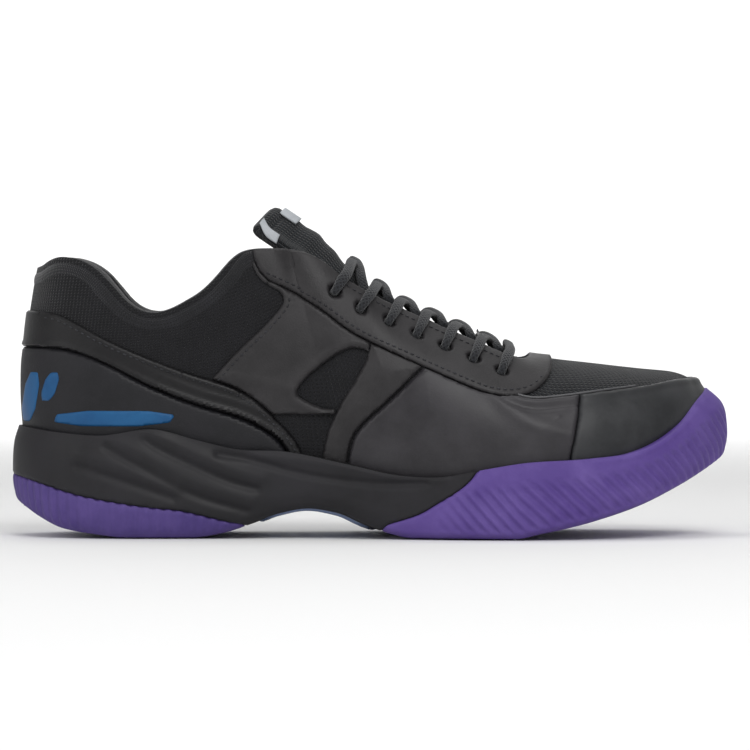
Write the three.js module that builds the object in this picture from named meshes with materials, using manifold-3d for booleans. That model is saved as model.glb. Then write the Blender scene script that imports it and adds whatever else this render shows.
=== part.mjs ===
// A low-cut court shoe for the right foot, as a three.js scene graph of its separate pieces.
// Millimetres. +X points to the toe, -Y is the lateral (outer) side, +Z is up. The origin is on the
// ground, under the middle of the shoe's bounding box.
//
// Patterns are drawn for one sample size and graded to LENGTH, WIDTH and HEIGHT, as a shoemaker does.
// The upper is cut from one form, the surface of the last: each piece is a layer of that form between
// two offsets, trimmed by an outline drawn in side view. Thicknesses and clearances are never graded.

import * as THREE from "three";
import { mergeVertices } from "three/addons/utils/BufferGeometryUtils.js";
import Module from "manifold-3d";

const wasm = await Module();
wasm.setup();

// ---------------------------------------------------------------- driving dimensions
const LENGTH = 296; // outsole, heel to toe
const WIDTH = 108; // outsole, at the ball of the foot
const HEIGHT = 137; // ground to the top of the tongue

const RUBBER = 4.2; // outsole tread and wrap
const MIDSOLE_BEVEL = 5; // how far the bottom edge of the sole is tucked in
const RIM_INSET = 1.6; // how far the top edge of the sole leans in along the sides
const TOE_LEAN = 8.5; // how far the toe bumper leans back
const SHANK = 2.2; // thickness of the shank plate
const FEATHER_INSET = 9; // sole edge to the bottom edge of the upper
const BOARD = 1.6; // thickness of the insole board
const SOCKLINER = 4.2; // thickness of the removable insole

const UPPER = 1.4; // base fabric of the upper
const OVERLAY = 1.2; // sewn-on panels
const LINING = 0.9;
const STIFFENER = 1.3; // heel counter, and the foam beside it
const PUFF = 0.9; // toe puff
const COLLAR_DEPTH = 10.8; // collar padding with its lining, at its thickest
const TONGUE_FACE = 0.9; // each fabric face of the tongue
const TONGUE_FOAM = 3.4;
const LABEL = 0.9; // thickness of the sewn labels

const THROAT_HALF = 17; // half the width of the throat between the eyestays
const EYELET_PAIRS = 7;
const EYELET_R = 3;
const EYELET_FROM_EDGE = 6.5;
const LACE_R = 1.4;
const TIP_LENGTH = 16;
const TIP_R = 1.5;

const GAP = 0.3; // glue line or running clearance between touching pieces
const LAYER_GAP = 0.4; // clearance between the layers of the upper
const SEAM = 0.4; // clearance where two pieces butt in side view

// ---------------------------------------------------------------- grading
const SAMPLE = { length: 296, width: 108, height: 137 };
const gradeX = LENGTH / SAMPLE.length;
const gradeY = WIDTH / SAMPLE.width;
const gradeZ = HEIGHT / SAMPLE.height;
const side = ([x, z]) => [x * gradeX, z * gradeZ]; // a side-view point at the real size

const LATERAL = -1;
const MEDIAL = 1;
const SIDES = { lateral: LATERAL, medial: MEDIAL };
const REACH = 400; // longer than any cut has to be

const PLAN_STEPS = 18; // stations of the form per side; the ankle's front falls on one of them
const FORM_ROWS = 8; // rows of the form from the sole to its top line
const SOLE_STEPS = 26; // stations of the sole per side

// ---------------------------------------------------------------- curves
// A smooth curve through knots [a, value, ...]. Limited curves never pass above or below a knot.
function through(knots, limited = false) {
  const last = knots.length - 1;
  const columns = knots[0].length - 1;
  const secant = (k, c) => (knots[k + 1][c] - knots[k][c]) / (knots[k + 1][0] - knots[k][0]);
  const slope = (k, c) => {
    if (k === 0) return secant(0, c);
    if (k === last) return secant(last - 1, c);
    const before = secant(k - 1, c);
    const after = secant(k, c);
    if (limited) return before * after <= 0 ? 0 : (2 * before * after) / (before + after);
    const w = (knots[k][0] - knots[k - 1][0]) / (knots[k + 1][0] - knots[k - 1][0]);
    return before * (1 - w) + after * w;
  };
  const slopes = knots.map((_, k) => Array.from({ length: columns }, (_, c) => slope(k, c + 1)));
  return (a) => {
    let k = 0;
    while (k < last - 1 && a > knots[k + 1][0]) k += 1;
    const span = knots[k + 1][0] - knots[k][0];
    const f = Math.min(1, Math.max(0, (a - knots[k][0]) / span));
    const [f2, f3] = [f * f, f * f * f];
    const values = slopes[k].map((m, c) => {
      const start = knots[k][c + 1] * (2 * f3 - 3 * f2 + 1) + m * span * (f3 - 2 * f2 + f);
      return start + knots[k + 1][c + 1] * (3 * f2 - 2 * f3) + slopes[k + 1][c] * span * (f3 - f2);
    });
    return columns === 1 ? values[0] : values;
  };
}

// The knots of a closed curve over -1..1, given its half over 0..1, reflected at both ends.
// Columns whose flip is -1 change sign across the heel, and across the toe about their value there.
function reflected(half, flips) {
  const end = half[half.length - 1];
  const turned = (row, about) => row.map((v, c) => (c ? (flips[c - 1] < 0 ? 2 * about[c] - v : v) : v));
  const before = turned(half[1], half[0]);
  before[0] = -half[1][0];
  const after = turned(half[half.length - 2], end);
  after[0] = 2 - half[half.length - 2][0];
  return [before, ...half, after];
}

// ---------------------------------------------------------------- the sole's plan and side profiles
// Stations along the sole: x, lateral y, medial y. The toe tip lies towards the big toe.
const PLAN = [
  [-148, 0, 0],
  [-139, -23, 23],
  [-119, -36.5, 35.5],
  [-90, -40, 36.5],
  [-58, -38.5, 34],
  [-24, -38.5, 34.5],
  [10, -45, 42],
  [42, -52.5, 51],
  [70, -54, 54],
  [96, -48.5, 53],
  [120, -34.5, 46.5],
  [138, -13, 34],
  [148, 12, 12],
];

// Around the sole: u runs 0..1 from heel to toe on the lateral side, and 0..-1 on the medial side.
const planKnots = [];
for (let k = -13; k <= 13; k += 1) {
  const wrapped = k > 12 ? k - 24 : k < -12 ? k + 24 : k;
  const [x, lateral, medial] = PLAN[Math.abs(wrapped)];
  planKnots.push([k / 12, x * gradeX, (wrapped > 0 ? lateral : medial) * gradeY]);
}
const planCurve = through(planKnots);

const turnOf = (sideSign, s) => (sideSign === LATERAL ? s : -s);

// The plan point at s on one side, moved in by inset, and the outward direction there.
function planAt(sideSign, s, inset = 0) {
  const u = turnOf(sideSign, s);
  const step = 1e-3;
  const [x0, y0] = planCurve(u - step);
  const [x1, y1] = planCurve(u + step);
  const length = Math.hypot(x1 - x0, y1 - y0);
  const [x, y] = planCurve(u);
  // Heel to toe on the lateral side runs with the outside on its right-hand side.
  const out = new THREE.Vector3((y1 - y0) / length, -(x1 - x0) / length, 0);
  return { x, at: new THREE.Vector3(x, y, 0).addScaledVector(out, -inset), out };
}

// The underside: heel bevel, flat heel, arch, flat ball, toe spring.
const ground = through(
  [
    [-148, 12],
    [-139, 7.5],
    [-128, 3.4],
    [-113, 1.2],
    [-100, 0],
    [-72, 0],
    [-60, 1.8],
    [-48, 5.6],
    [-37, 9.8],
    [-26, 11.7],
    [-15, 10.1],
    [-4, 5.4],
    [6, 2],
    [16, 0],
    [58, 0],
    [70, 2.2],
    [84, 5],
    [98, 8.6],
    [112, 13],
    [126, 18.8],
    [138, 24.5],
    [148, 30],
  ].map(side),
  true,
);

// The top edge of the sole, where the upper comes out of it.
const rim = through(
  [
    [-148, 45],
    [-128, 42.5],
    [-110, 41.5],
    [-88, 44],
    [-70, 39.5],
    [-55, 36],
    [-35, 35],
    [-10, 30],
    [12, 25.5],
    [28, 25],
    [45, 28],
    [60, 30.5],
    [90, 32.5],
    [107, 34.5],
    [120, 39.5],
    [130, 46],
    [138, 53.5],
    [148, 60],
  ].map(side),
);

// The floor of the cup that the upper stands in.
const cupFloor = through(
  [
    [-148, 26],
    [-100, 24.5],
    [-50, 22],
    [0, 18],
    [40, 14.5],
    [70, 15],
    [95, 19],
    [118, 26],
    [135, 33],
    [148, 39],
  ].map(side),
);

const rimLean = through([
  [-LENGTH / 2, RIM_INSET + 1],
  [LENGTH * 0.33, RIM_INSET],
  [LENGTH * 0.43, RIM_INSET + 1.4],
  [LENGTH / 2, TOE_LEAN],
]);

// ---------------------------------------------------------------- meshes and solids
function geometryOf(points, faces) {
  const position = new THREE.Float32BufferAttribute(points.flatMap((p) => [p.x, p.y, p.z]), 3);
  return new THREE.BufferGeometry().setAttribute("position", position).setIndex(faces);
}

function solidOf(geometry) {
  const bare = geometry.clone();
  bare.deleteAttribute("normal");
  bare.deleteAttribute("uv");
  const merged = mergeVertices(bare, 1e-3);
  const corners = merged.index.array;
  const faces = [];
  for (let i = 0; i < corners.length; i += 3) {
    const [a, b, c] = corners.slice(i, i + 3);
    if (a !== b && b !== c && c !== a) faces.push(a, b, c);
  }
  const vertProperties = merged.attributes.position.array;
  const made = () => {
    const mesh = new wasm.Mesh({ numProp: 3, vertProperties, triVerts: new Uint32Array(faces) });
    return new wasm.Manifold(mesh);
  };
  if (made().volume() > 0) return made();
  for (let i = 0; i < faces.length; i += 3) [faces[i + 1], faces[i + 2]] = [faces[i + 2], faces[i + 1]];
  return made();
}

// Rings from heel to toe and back, joined in order. The first and last are closed by strips across them.
function ringBody(rings, stations) {
  const size = rings[0].length;
  const faces = [];
  const quad = (a, b, c, d) => faces.push(a, b, c, a, c, d);
  rings.slice(1).forEach((_, r) => {
    for (let k = 0; k < size; k += 1) {
      const k1 = (k + 1) % size;
      quad(r * size + k, r * size + k1, (r + 1) * size + k1, (r + 1) * size + k);
    }
  });
  const top = (rings.length - 1) * size;
  for (let k = 0; k < stations; k += 1) {
    const [far, farNext] = [(size - k) % size, size - k - 1];
    quad(k, far, farNext, k + 1);
    quad(top + k, top + k + 1, top + farNext, top + far);
  }
  return solidOf(geometryOf(rings.flat(), faces));
}

// ---------------------------------------------------------------- bodies that follow the sole's plan

// One ring around the sole: heel, lateral side, toe, medial side. height is a function of x.
function planRing(inset, height) {
  const ring = [];
  const insetAt = typeof inset === "function" ? inset : () => inset;
  const add = (sign, s) => {
    const { x } = planAt(sign, s);
    const { at } = planAt(sign, s, insetAt(x));
    ring.push(at.setZ(height(x)));
  };
  for (let i = 0; i <= SOLE_STEPS; i += 1) add(LATERAL, i / SOLE_STEPS);
  for (let i = SOLE_STEPS - 1; i > 0; i -= 1) add(MEDIAL, i / SOLE_STEPS);
  return ring;
}

// A body between levels [inset, height], bottom first. Its ends are ruled across the foot.
function planBody(levels) {
  return ringBody(levels.map(([inset, height]) => planRing(inset, height)), SOLE_STEPS);
}

const above = (curve, lift) => (x) => curve(x) + lift;

// ---------------------------------------------------------------- the form of the upper
// The form's top line: s, x, y, z. It runs round the ankle, meets itself in front of it, and goes on
// down the middle of the instep to the toe.
const ANKLE_FRONT = 8 / PLAN_STEPS;
const topLine = through(
  reflected(
    [
      [0, -134.5, 0, 124],
      [0.083, -127, 18.5, 124],
      [0.167, -108, 26.5, 124],
      [0.25, -86, 28, 125.5],
      [0.333, -67, 25.5, 131],
      [0.38, -53, 21, 135.5],
      [0.415, -43, 12.5, 139],
      [ANKLE_FRONT, -37.5, 0, 140.5],
      [0.5, -19.5, 0, 124.5],
      [0.542, -4, 0, 107.5],
      [0.583, 12, 0, 96],
      [0.625, 29, 0, 88.5],
      [0.667, 46, 0, 80.6],
      [0.708, 61, 0, 74.4],
      [0.75, 76, 0, 72.2],
      [0.792, 90, 0, 70.6],
      [0.833, 102, 0, 69.2],
      [0.875, 111, 0, 68.2],
      [0.917, 116.5, 0, 67.7],
      [1, 121, 0, 67.3],
    ],
    [1, -1, 1],
  ).map(([s, x, y, z]) => [s, x * gradeX, y * gradeY, z * gradeZ]),
);

// The middle of the instep drifts towards the big toe.
const instepShift = through([
  [-150, 0],
  [-40, -1],
  [40, 3],
  [121, 12],
].map(([x, y]) => [x * gradeX, y * gradeY]));

// How each section of the form leaves the feather line (out, up) and reaches the top line (out, down).
const fullness = through(
  reflected(
    [
      [0, 8, 28, 7.5, 29],
      [0.083, 7, 29, 7, 29],
      [0.167, 6, 30, 6, 28],
      [0.25, 6, 31, 6.5, 27],
      [0.333, 6.5, 33, 9, 22],
      [0.38, 7, 35, 12, 17],
      [0.415, 7.2, 36, 21, 9],
      [ANKLE_FRONT, 7.5, 37, 31, 3],
      [0.5, 8, 38, 31, 1.5],
      [0.56, 9, 36, 31, 0.8],
      [0.625, 9.5, 33, 33, 0.5],
      [0.708, 9.5, 31, 38, 0],
      [0.792, 8.5, 28, 36, 0],
      [0.875, 6, 24, 27, 0],
      [0.94, 3.5, 19, 18, 0],
      [1, 2.5, 17, 14.5, 0],
    ],
    [1, 1, 1, 1],
  ).map(([s, out, rise, topOut, drop]) => [s, out * gradeY, rise * gradeZ, topOut * gradeY, drop * gradeZ]),
);

function formPoint(sign, s, t) {
  const { x: stationX, at: bottom, out } = planAt(sign, s, FEATHER_INSET);
  bottom.z = cupFloor(stationX) + BOARD + 2 * GAP;
  const [x, y, z] = topLine(s);
  const shift = instepShift(x);
  const top = new THREE.Vector3(x, (s >= ANKLE_FRONT ? 0 : sign * y) + shift, z);
  const [outLow, rise, outHigh, drop] = fullness(s);
  const [nearX, , nearZ] = topLine(s - 0.02);
  const onInstep = THREE.MathUtils.smoothstep(s, ANKLE_FRONT - 0.04, ANKLE_FRONT + 0.04);
  const slope = (onInstep * (z - nearZ)) / (x - nearX || 1);
  const low = bottom.clone().addScaledVector(out, outLow);
  low.z += rise;
  const high = top.clone().addScaledVector(out, outHigh);
  high.z += out.x * outHigh * slope - drop;
  const f = 1 - t;
  return new THREE.Vector3()
    .addScaledVector(bottom, f * f * f)
    .addScaledVector(low, 3 * f * f * t)
    .addScaledVector(high, 3 * f * t * t)
    .addScaledVector(top, t * t * t);
}

// The form as one open mesh with shared vertices and smooth normals.
function formGeometry() {
  const points = [];
  const faces = [];
  Object.values(SIDES).forEach((sign) => {
    const start = points.length;
    const row = FORM_ROWS + 1;
    for (let i = 0; i <= PLAN_STEPS; i += 1)
      for (let j = 0; j <= FORM_ROWS; j += 1) points.push(formPoint(sign, i / PLAN_STEPS, j / FORM_ROWS));
    for (let i = 0; i < PLAN_STEPS; i += 1) {
      for (let j = 0; j < FORM_ROWS; j += 1) {
        const a = start + i * row + j;
        const [b, c, d] = [a + row, a + row + 1, a + 1];
        if (sign === LATERAL) faces.push(a, b, c, a, c, d);
        else faces.push(a, c, b, a, d, c);
      }
    }
  });
  const merged = mergeVertices(geometryOf(points, faces), 1e-2);
  merged.computeVertexNormals();
  return merged;
}
const form = formGeometry();

// The layer of the form between two offsets, each a number or a function of the form's point.
function layer(inner, outer) {
  const position = form.attributes.position;
  const normal = form.attributes.normal;
  const shell = [];
  [outer, inner].forEach((offset) => {
    for (let i = 0; i < position.count; i += 1) {
      const p = new THREE.Vector3().fromBufferAttribute(position, i);
      const n = new THREE.Vector3().fromBufferAttribute(normal, i);
      shell.push(p.clone().addScaledVector(n, typeof offset === "function" ? offset(p) : offset));
    }
  });
  const count = position.count;
  const faces = [];
  const edges = new Map();
  const index = form.index.array;
  for (let i = 0; i < index.length; i += 3) {
    const corner = [index[i], index[i + 1], index[i + 2]];
    if (new Set(corner).size < 3) continue;
    faces.push(...corner, corner[0] + count, corner[2] + count, corner[1] + count);
    corner.forEach((a, k) => edges.set(`${a},${corner[(k + 1) % 3]}`, [a, corner[(k + 1) % 3]]));
  }
  edges.forEach(([a, b]) => {
    if (edges.has(`${b},${a}`)) return;
    faces.push(b, a, a + count, b, a + count, b + count);
  });
  return solidOf(geometryOf(shell, faces));
}

const FORM_SHARE = 0.9; // how much of the form's height its volume takes up

// The volume inside the form, grown by offset, from depth below its bottom edge to past its top.
function formVolume(offset, depth) {
  const grown = (sign, s, t) => {
    const at = formPoint(sign, s, t);
    const ds = Math.min(0.01, 0.5 / PLAN_STEPS);
    const along = formPoint(sign, s + ds, t).sub(formPoint(sign, s - ds, t));
    const up = formPoint(sign, s, Math.min(1, t + 0.02)).sub(formPoint(sign, s, Math.max(0, t - 0.02)));
    const n = along.cross(up).normalize().multiplyScalar(sign === LATERAL ? 1 : -1);
    return at.addScaledVector(n, offset);
  };
  const rings = [];
  for (let j = -1; j <= FORM_ROWS; j += 1) {
    const ring = [];
    const add = (sign, i) => {
      const p = grown(sign, i / PLAN_STEPS, (Math.max(0, j) / FORM_ROWS) * FORM_SHARE);
      if (j < 0) p.z -= depth;
      ring.push(p);
    };
    for (let i = 0; i <= PLAN_STEPS; i += 1) add(LATERAL, i);
    for (let i = PLAN_STEPS - 1; i > 0; i -= 1) add(MEDIAL, i);
    rings.push(ring);
  }
  return ringBody(rings, PLAN_STEPS);
}

// ---------------------------------------------------------------- side-view outlines
// The collar and the eyestay's top edge, then the eyestay's inner edge down to the throat.
const COLLAR = [
  [-124.4, 114.5],
  [-114, 111.2],
  [-105.8, 103.3],
  [-99.6, 95.9],
  [-93.4, 92],
  [-87.2, 91.4],
  [-81, 93],
  [-74.8, 96.3],
  [-68.6, 100],
  [-62.4, 106.2],
  [-55, 115.5],
  [-48, 117.2],
  [-36, 117],
  [-26.9, 115.8],
  [-18.6, 111.4],
].map(side);
const THROAT = [
  [-14, 107],
  [0, 98],
  [20, 88.5],
  [40, 80],
  [58, 72],
  [63, 71.5],
  [66, 74],
].map(side);

// The rear seam of the side panel, the heel band and the forefoot pieces.
const BAND_TOP = [
  [-160, 92.5],
  [-131, 92],
  [-122.4, 88.5],
  [-107.9, 80.2],
  [-91.4, 73.2],
  [-74.8, 67],
  [-62.4, 63.7],
  [-50, 58.5],
  [-38, 48],
  [-28, 37],
  [-24, 20],
].map(side);
const BAND_BOTTOM = [
  [-160, 77.5],
  [-131.9, 77],
  [-122.4, 76.1],
  [-107.9, 70.7],
  [-91.4, 61.6],
  [-70.7, 53.3],
  [-54.2, 49.2],
  [-41.8, 43],
  [-34, 36],
  [-31, 20],
].map(side);
const QUARTER_SEAM = [
  [-52.5, 125],
  [-50, 104],
  [-38, 97],
  [-43.4, 88],
  [-54.2, 76.1],
  [-64, 66],
].map(side);
const STRAP_REAR = [
  [40, 100],
  [31, 86],
  [19, 78],
  [7, 67.8],
  [-2, 55.4],
  [-9.5, 43],
  [-12, 34],
  [-13, 15],
].map(side);
const STRAP_FRONT = [
  [49, 95],
  [45, 82],
  [28.5, 76.1],
  [20.3, 67.8],
  [9, 55.4],
  [1, 43],
  [-4, 34],
  [-5, 15],
].map(side);
const GUARD_RIM = [
  [46, 81],
  [49.2, 71.9],
  [52.1, 63.7],
  [57.5, 57.5],
  [65.7, 55.4],
  [78.1, 56.6],
  [94.7, 58.7],
  [111.2, 60.4],
  [127.7, 64.5],
  [160, 66],
].map(side);
const TOE_SEAM = [
  [86, 80],
  [84.7, 51.3],
  [83.1, 44.2],
  [80.2, 30.6],
  [79, 10],
].map(side);
const VAMP_SEAM = [
  [74, 120],
  [58, 68],
  [34, 50],
  [14, 10],
].map(side);
const WINDOW = [
  [-9.5, 77],
  [-1.5, 72.5],
  [-11, 60],
  [-18.2, 54.8],
  [-30.5, 59.8],
].map(side);

// A prism through the whole width of the shoe, over a closed side-view outline.
function prism(outline, halfWidth = REACH, middle = 0) {
  const shape = new THREE.Shape(outline.map(([x, z]) => new THREE.Vector2(x, z)));
  const geometry = new THREE.ExtrudeGeometry(shape, { depth: 2 * halfWidth, bevelEnabled: false });
  geometry.rotateX(Math.PI / 2);
  geometry.translate(0, halfWidth + middle, 0);
  return solidOf(geometry);
}

// Everything above, below, behind or in front of a side-view line that runs from rear to front
// (above, below) or from top to bottom (behind, ahead), moved off it by a clearance.
const moved = (line, dx, dz) => line.map(([x, z]) => [x + dx, z + dz]);
const topOf = (line, clear = 0) => {
  const at = moved(line, 0, clear);
  return prism([...at, [at[at.length - 1][0], REACH], [at[0][0], REACH]]);
};
const underOf = (line, clear = 0) => {
  const at = moved(line, 0, -clear);
  return prism([...at, [at[at.length - 1][0], -REACH], [at[0][0], -REACH]]);
};
const rearOf = (line, clear = 0) => {
  const at = moved(line, -clear, 0);
  return prism([...at, [-REACH, at[at.length - 1][1]], [-REACH, at[0][1]]]);
};
const aheadOf = (line, clear = 0) => {
  const at = moved(line, clear, 0);
  return prism([...at, [REACH, at[at.length - 1][1]], [REACH, at[0][1]]]);
};

const uprightLine = (x) => [[x, REACH], [x, -REACH]];

// Half of space on one side of the shoe, past a clearance from its middle plane.
const halfSpace = (sign, clear = SEAM / 2) => {
  const box = new THREE.BoxGeometry(2 * REACH, REACH, 2 * REACH);
  return solidOf(box.translate(0, sign * (REACH / 2 + clear), 0));
};

// What the foot's openings take away: all above the collar, and the throat down the instep.
const opening = topOf([[-REACH, COLLAR[0][1]], ...COLLAR, ...THROAT]);

// A line moved square to itself, towards its right-hand side as it runs.
function offsetLine(line, distance) {
  return line.map((point, k) => {
    const before = line[Math.max(0, k - 1)];
    const after = line[Math.min(line.length - 1, k + 1)];
    const [dx, dz] = [after[0] - before[0], after[1] - before[1]];
    const length = Math.hypot(dx, dz);
    return [point[0] + (dz / length) * distance, point[1] - (dx / length) * distance];
  });
}

// Distance below the collar line at a point of the form, in side view.
const collarHeight = through(COLLAR, true);
const belowCollar = (p) => collarHeight(Math.max(p.x, COLLAR[0][0])) - p.z;
const fade = THREE.MathUtils.smoothstep;

// ---------------------------------------------------------------- layers of the upper
const outerFace = OVERLAY + GAP;
const FOAM_TOP = -UPPER - LAYER_GAP;
const FOAM_UNDER = FOAM_TOP - STIFFENER;
const EYESTAY_WIDTH = 19;

// The padding is deepest a little below the collar, and fades out towards the sole and the throat.
function paddingUnder(p) {
  const drop = belowCollar(p);
  const down = 1 - fade(drop, 9 * gradeZ, 36 * gradeZ);
  const forward = 1 - fade(p.x, -70 * gradeX, -48 * gradeX);
  return FOAM_UNDER - (COLLAR_DEPTH - LINING - STIFFENER) * down * forward;
}

const eyestayLine = offsetLine(THROAT.slice(0, 5), EYESTAY_WIDTH);
const throatHeight = through(THROAT.slice(0, 6), true);

// The lining lies against the base fabric along the throat, and behind the foam elsewhere.
function liningTop(p) {
  const nearThroat = 1 - fade(throatHeight(p.x) - p.z, EYESTAY_WIDTH - 8, EYESTAY_WIDTH + 4);
  const along = fade(p.x, -26 * gradeX, -12 * gradeX) * (1 - fade(p.x, 64 * gradeX, 76 * gradeX));
  const lift = (STIFFENER + GAP) * nearThroat * along;
  return paddingUnder(p) - GAP + lift;
}

const baseLayer = layer(-UPPER, 0);
const overLayer = layer(GAP, outerFace);
const foamLayer = layer(paddingUnder, FOAM_TOP);
const liningLayer = layer((p) => liningTop(p) - LINING, liningTop);

const HEEL_PANEL_FRONT = -26 * gradeX;
const HEEL_BAND_FRONT = -31 * gradeX;

const parts = {};
const open = (solid) => solid.subtract(opening);

// ---------------------------------------------------------------- overlays sewn on the outside
const overlays = open(overLayer);
parts.heel_panel = overlays.intersect(underOf(BAND_BOTTOM)).intersect(rearOf(uprightLine(HEEL_PANEL_FRONT)));
parts.heel_band = overlays
  .intersect(underOf(BAND_TOP))
  .intersect(topOf(BAND_BOTTOM, SEAM))
  .subtract(aheadOf(uprightLine(HEEL_BAND_FRONT)));
parts.toe_cap = overlays.intersect(aheadOf(TOE_SEAM, SEAM)).intersect(underOf(GUARD_RIM));

// A ring of holes' axes: where each eyelet sits in side view.
function pointAlong(line, share) {
  const lengths = line.slice(1).map((p, k) => Math.hypot(p[0] - line[k][0], p[1] - line[k][1]));
  let left = share * lengths.reduce((sum, l) => sum + l, 0);
  let k = 0;
  while (k < lengths.length - 1 && left > lengths[k]) {
    left -= lengths[k];
    k += 1;
  }
  const f = left / lengths[k];
  return [line[k][0] + (line[k + 1][0] - line[k][0]) * f, line[k][1] + (line[k + 1][1] - line[k][1]) * f];
}

const LINING_SHORT = 3.5; // the lining's edge stops this far short of the eyestay's
const EYELET_START = 0.04; // share of the throat edge where the top and bottom eyelets sit
const EYELET_END = 0.97;
const throatEdge = THROAT.slice(0, 5);
const eyeletRow = offsetLine(throatEdge, EYELET_FROM_EDGE);
const eyeletShare = (k) => EYELET_END - ((EYELET_END - EYELET_START) * k) / (EYELET_PAIRS - 1);

// The point of the form seen at [x, z] from one side, and the outward direction there.
const caster = new THREE.Raycaster();
const formMesh = new THREE.Mesh(form, new THREE.MeshBasicMaterial({ side: THREE.DoubleSide }));
function onForm(sign, [x, z]) {
  caster.set(new THREE.Vector3(x, sign * REACH, z), new THREE.Vector3(0, -sign, 0));
  const [hit] = caster.intersectObject(formMesh);
  const n = hit.face.normal.clone();
  if (n.y * sign < 0) n.negate();
  return { at: hit.point, out: n };
}

const PIN_LENGTH = 18; // longer than the upper is thick

// A pin through the upper, square to its surface.
function pin(sign, place, radius) {
  const { at, out } = onForm(sign, place);
  const turn = new THREE.Quaternion().setFromUnitVectors(new THREE.Vector3(0, 1, 0), out);
  const geometry = new THREE.CylinderGeometry(radius, radius, PIN_LENGTH, 8).applyQuaternion(turn);
  return solidOf(geometry.translate(at.x, at.y, at.z));
}
const eyelets = [];
Object.values(SIDES).forEach((sign) => {
  for (let k = 0; k < EYELET_PAIRS; k += 1) {
    eyelets.push(pin(sign, pointAlong(eyeletRow, eyeletShare(k)), EYELET_R));
  }
});
const eyeletPins = eyelets.reduce((sum, one) => sum.add(one));

const eyestayOutline = [
  [-52, 125],
  [-49.5, 105],
  [-36, 98.5],
].map(side);
const eyestayArea = prism([
  ...eyestayOutline,
  ...eyestayLine.slice(1),
  [62 * gradeX, 62 * gradeZ],
  [70 * gradeX, 62 * gradeZ],
  [70 * gradeX, 125 * gradeZ],
]);
const eyestayGrown = prism([
  ...moved(eyestayOutline, -SEAM, -SEAM),
  ...moved(eyestayLine.slice(1), 0, -SEAM),
  [62 * gradeX, 62 * gradeZ - SEAM],
  [70 * gradeX + SEAM, 62 * gradeZ - SEAM],
  [70 * gradeX + SEAM, 130 * gradeZ],
]);

Object.entries(SIDES).forEach(([name, sign]) => {
  const half = overlays.intersect(halfSpace(sign));
  parts[`eyestay_${name}`] = half.intersect(eyestayArea).subtract(eyeletPins);
  const below = half.subtract(eyestayGrown);
  parts[`side_panel_${name}`] = below
    .subtract(underOf(BAND_TOP, -SEAM))
    .intersect(aheadOf(QUARTER_SEAM))
    .intersect(rearOf(STRAP_REAR, SEAM))
    .subtract(prism(WINDOW));
  parts[`midfoot_strap_${name}`] = below
    .intersect(aheadOf(STRAP_REAR))
    .intersect(rearOf(STRAP_FRONT, SEAM));
  parts[`forefoot_guard_${name}`] = below
    .intersect(aheadOf(STRAP_FRONT))
    .subtract(topOf(GUARD_RIM))
    .intersect(rearOf(TOE_SEAM));
});

// ---------------------------------------------------------------- base fabric, stiffeners and lining
const base = open(baseLayer).subtract(eyeletPins);
parts.vamp = base.intersect(aheadOf(VAMP_SEAM));
Object.entries(SIDES).forEach(([name, sign]) => {
  parts[`quarter_${name}`] = base.intersect(rearOf(VAMP_SEAM, SEAM)).intersect(halfSpace(sign));
});

const COUNTER_LINE = [
  [-160, 74],
  [-125, 73],
  [-100, 62],
  [-80, 48],
  [-66, 34],
  [-60, 10],
].map(side);
const PUFF_LINE = [
  [112, 90],
  [104, 62],
  [98, 48],
  [92, 34],
  [88, 10],
].map(side);
const stiff = open(layer(FOAM_UNDER, FOAM_TOP));
parts.heel_counter = stiff.intersect(underOf(COUNTER_LINE));
parts.toe_puff = open(layer(FOAM_TOP - PUFF, FOAM_TOP)).intersect(aheadOf(PUFF_LINE));
const COLLAR_PAD_FRONT = -44 * gradeX;
const PAD_LINE = [
  [-160, 76],
  [-120, 75],
  [-88, 62],
  [-62, 66],
  [-46, 82],
  [-44, 90],
].map(side);
const padZone = topOf(PAD_LINE).intersect(rearOf(uprightLine(COLLAR_PAD_FRONT)));
const padded = open(foamLayer);
parts.collar_padding = padded.intersect(padZone);
const THROAT_BAND = 16; // the interlining stops this far below the eyestay
const bandUnder = moved(eyestayLine, 0, -THROAT_BAND);
const throatBand = topOf([[-34 * gradeX, bandUnder[0][1]], ...bandUnder, [88 * gradeX, 46 * gradeZ]]);
parts.interlining = stiff
  .subtract(topOf(moved(PAD_LINE, 0, -SEAM)))
  .subtract(throatBand)
  .subtract(underOf(COUNTER_LINE, -SEAM))
  .subtract(aheadOf(PUFF_LINE, -SEAM));
const liningTrim = topOf([...offsetLine(throatEdge, LINING_SHORT), [66 * gradeX, 70 * gradeZ]]);
parts.lining = open(liningLayer).subtract(liningTrim).subtract(eyeletPins);

// ---------------------------------------------------------------- tongue
const TENT = 0.65; // the share of the throat over which the tongue rises to its crown
const TONGUE_CLEAR = 5; // room for the lace between the lining and the tongue
const tongueSides = FOAM_TOP - LINING - GAP - TONGUE_CLEAR;
const TONGUE_CROWN = -LACE_R - 0.6; // its face at the middle of the instep, under the form
function tongueTop(p) {
  const away = Math.abs(p.y - instepShift(p.x)) / (TENT * THROAT_HALF * gradeY);
  return THREE.MathUtils.lerp(TONGUE_CROWN, tongueSides, Math.min(1, away));
}
const tongueOutline = [
  [60, 100],
  [60, 60],
  [45, 66],
  [20, 76],
  [0, 86],
  [-20, 97],
  [-40, 106],
  [-51, 112],
  [-57, 119],
  [-53.5, 128],
  [-48, 133.5],
  [-44, 137.5],
  [-38, 160],
].map(side);
const inTongue = prism(tongueOutline);
const tongueLayer = (from, depth) =>
  layer(
    (p) => tongueTop(p) - from - depth,
    (p) => tongueTop(p) - from,
  ).intersect(inTongue);
parts.tongue_face = tongueLayer(0, TONGUE_FACE);
parts.tongue_padding = tongueLayer(TONGUE_FACE + GAP, TONGUE_FOAM);
parts.tongue_lining = tongueLayer(TONGUE_FACE + TONGUE_FOAM + 2 * GAP, TONGUE_FACE);

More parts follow.
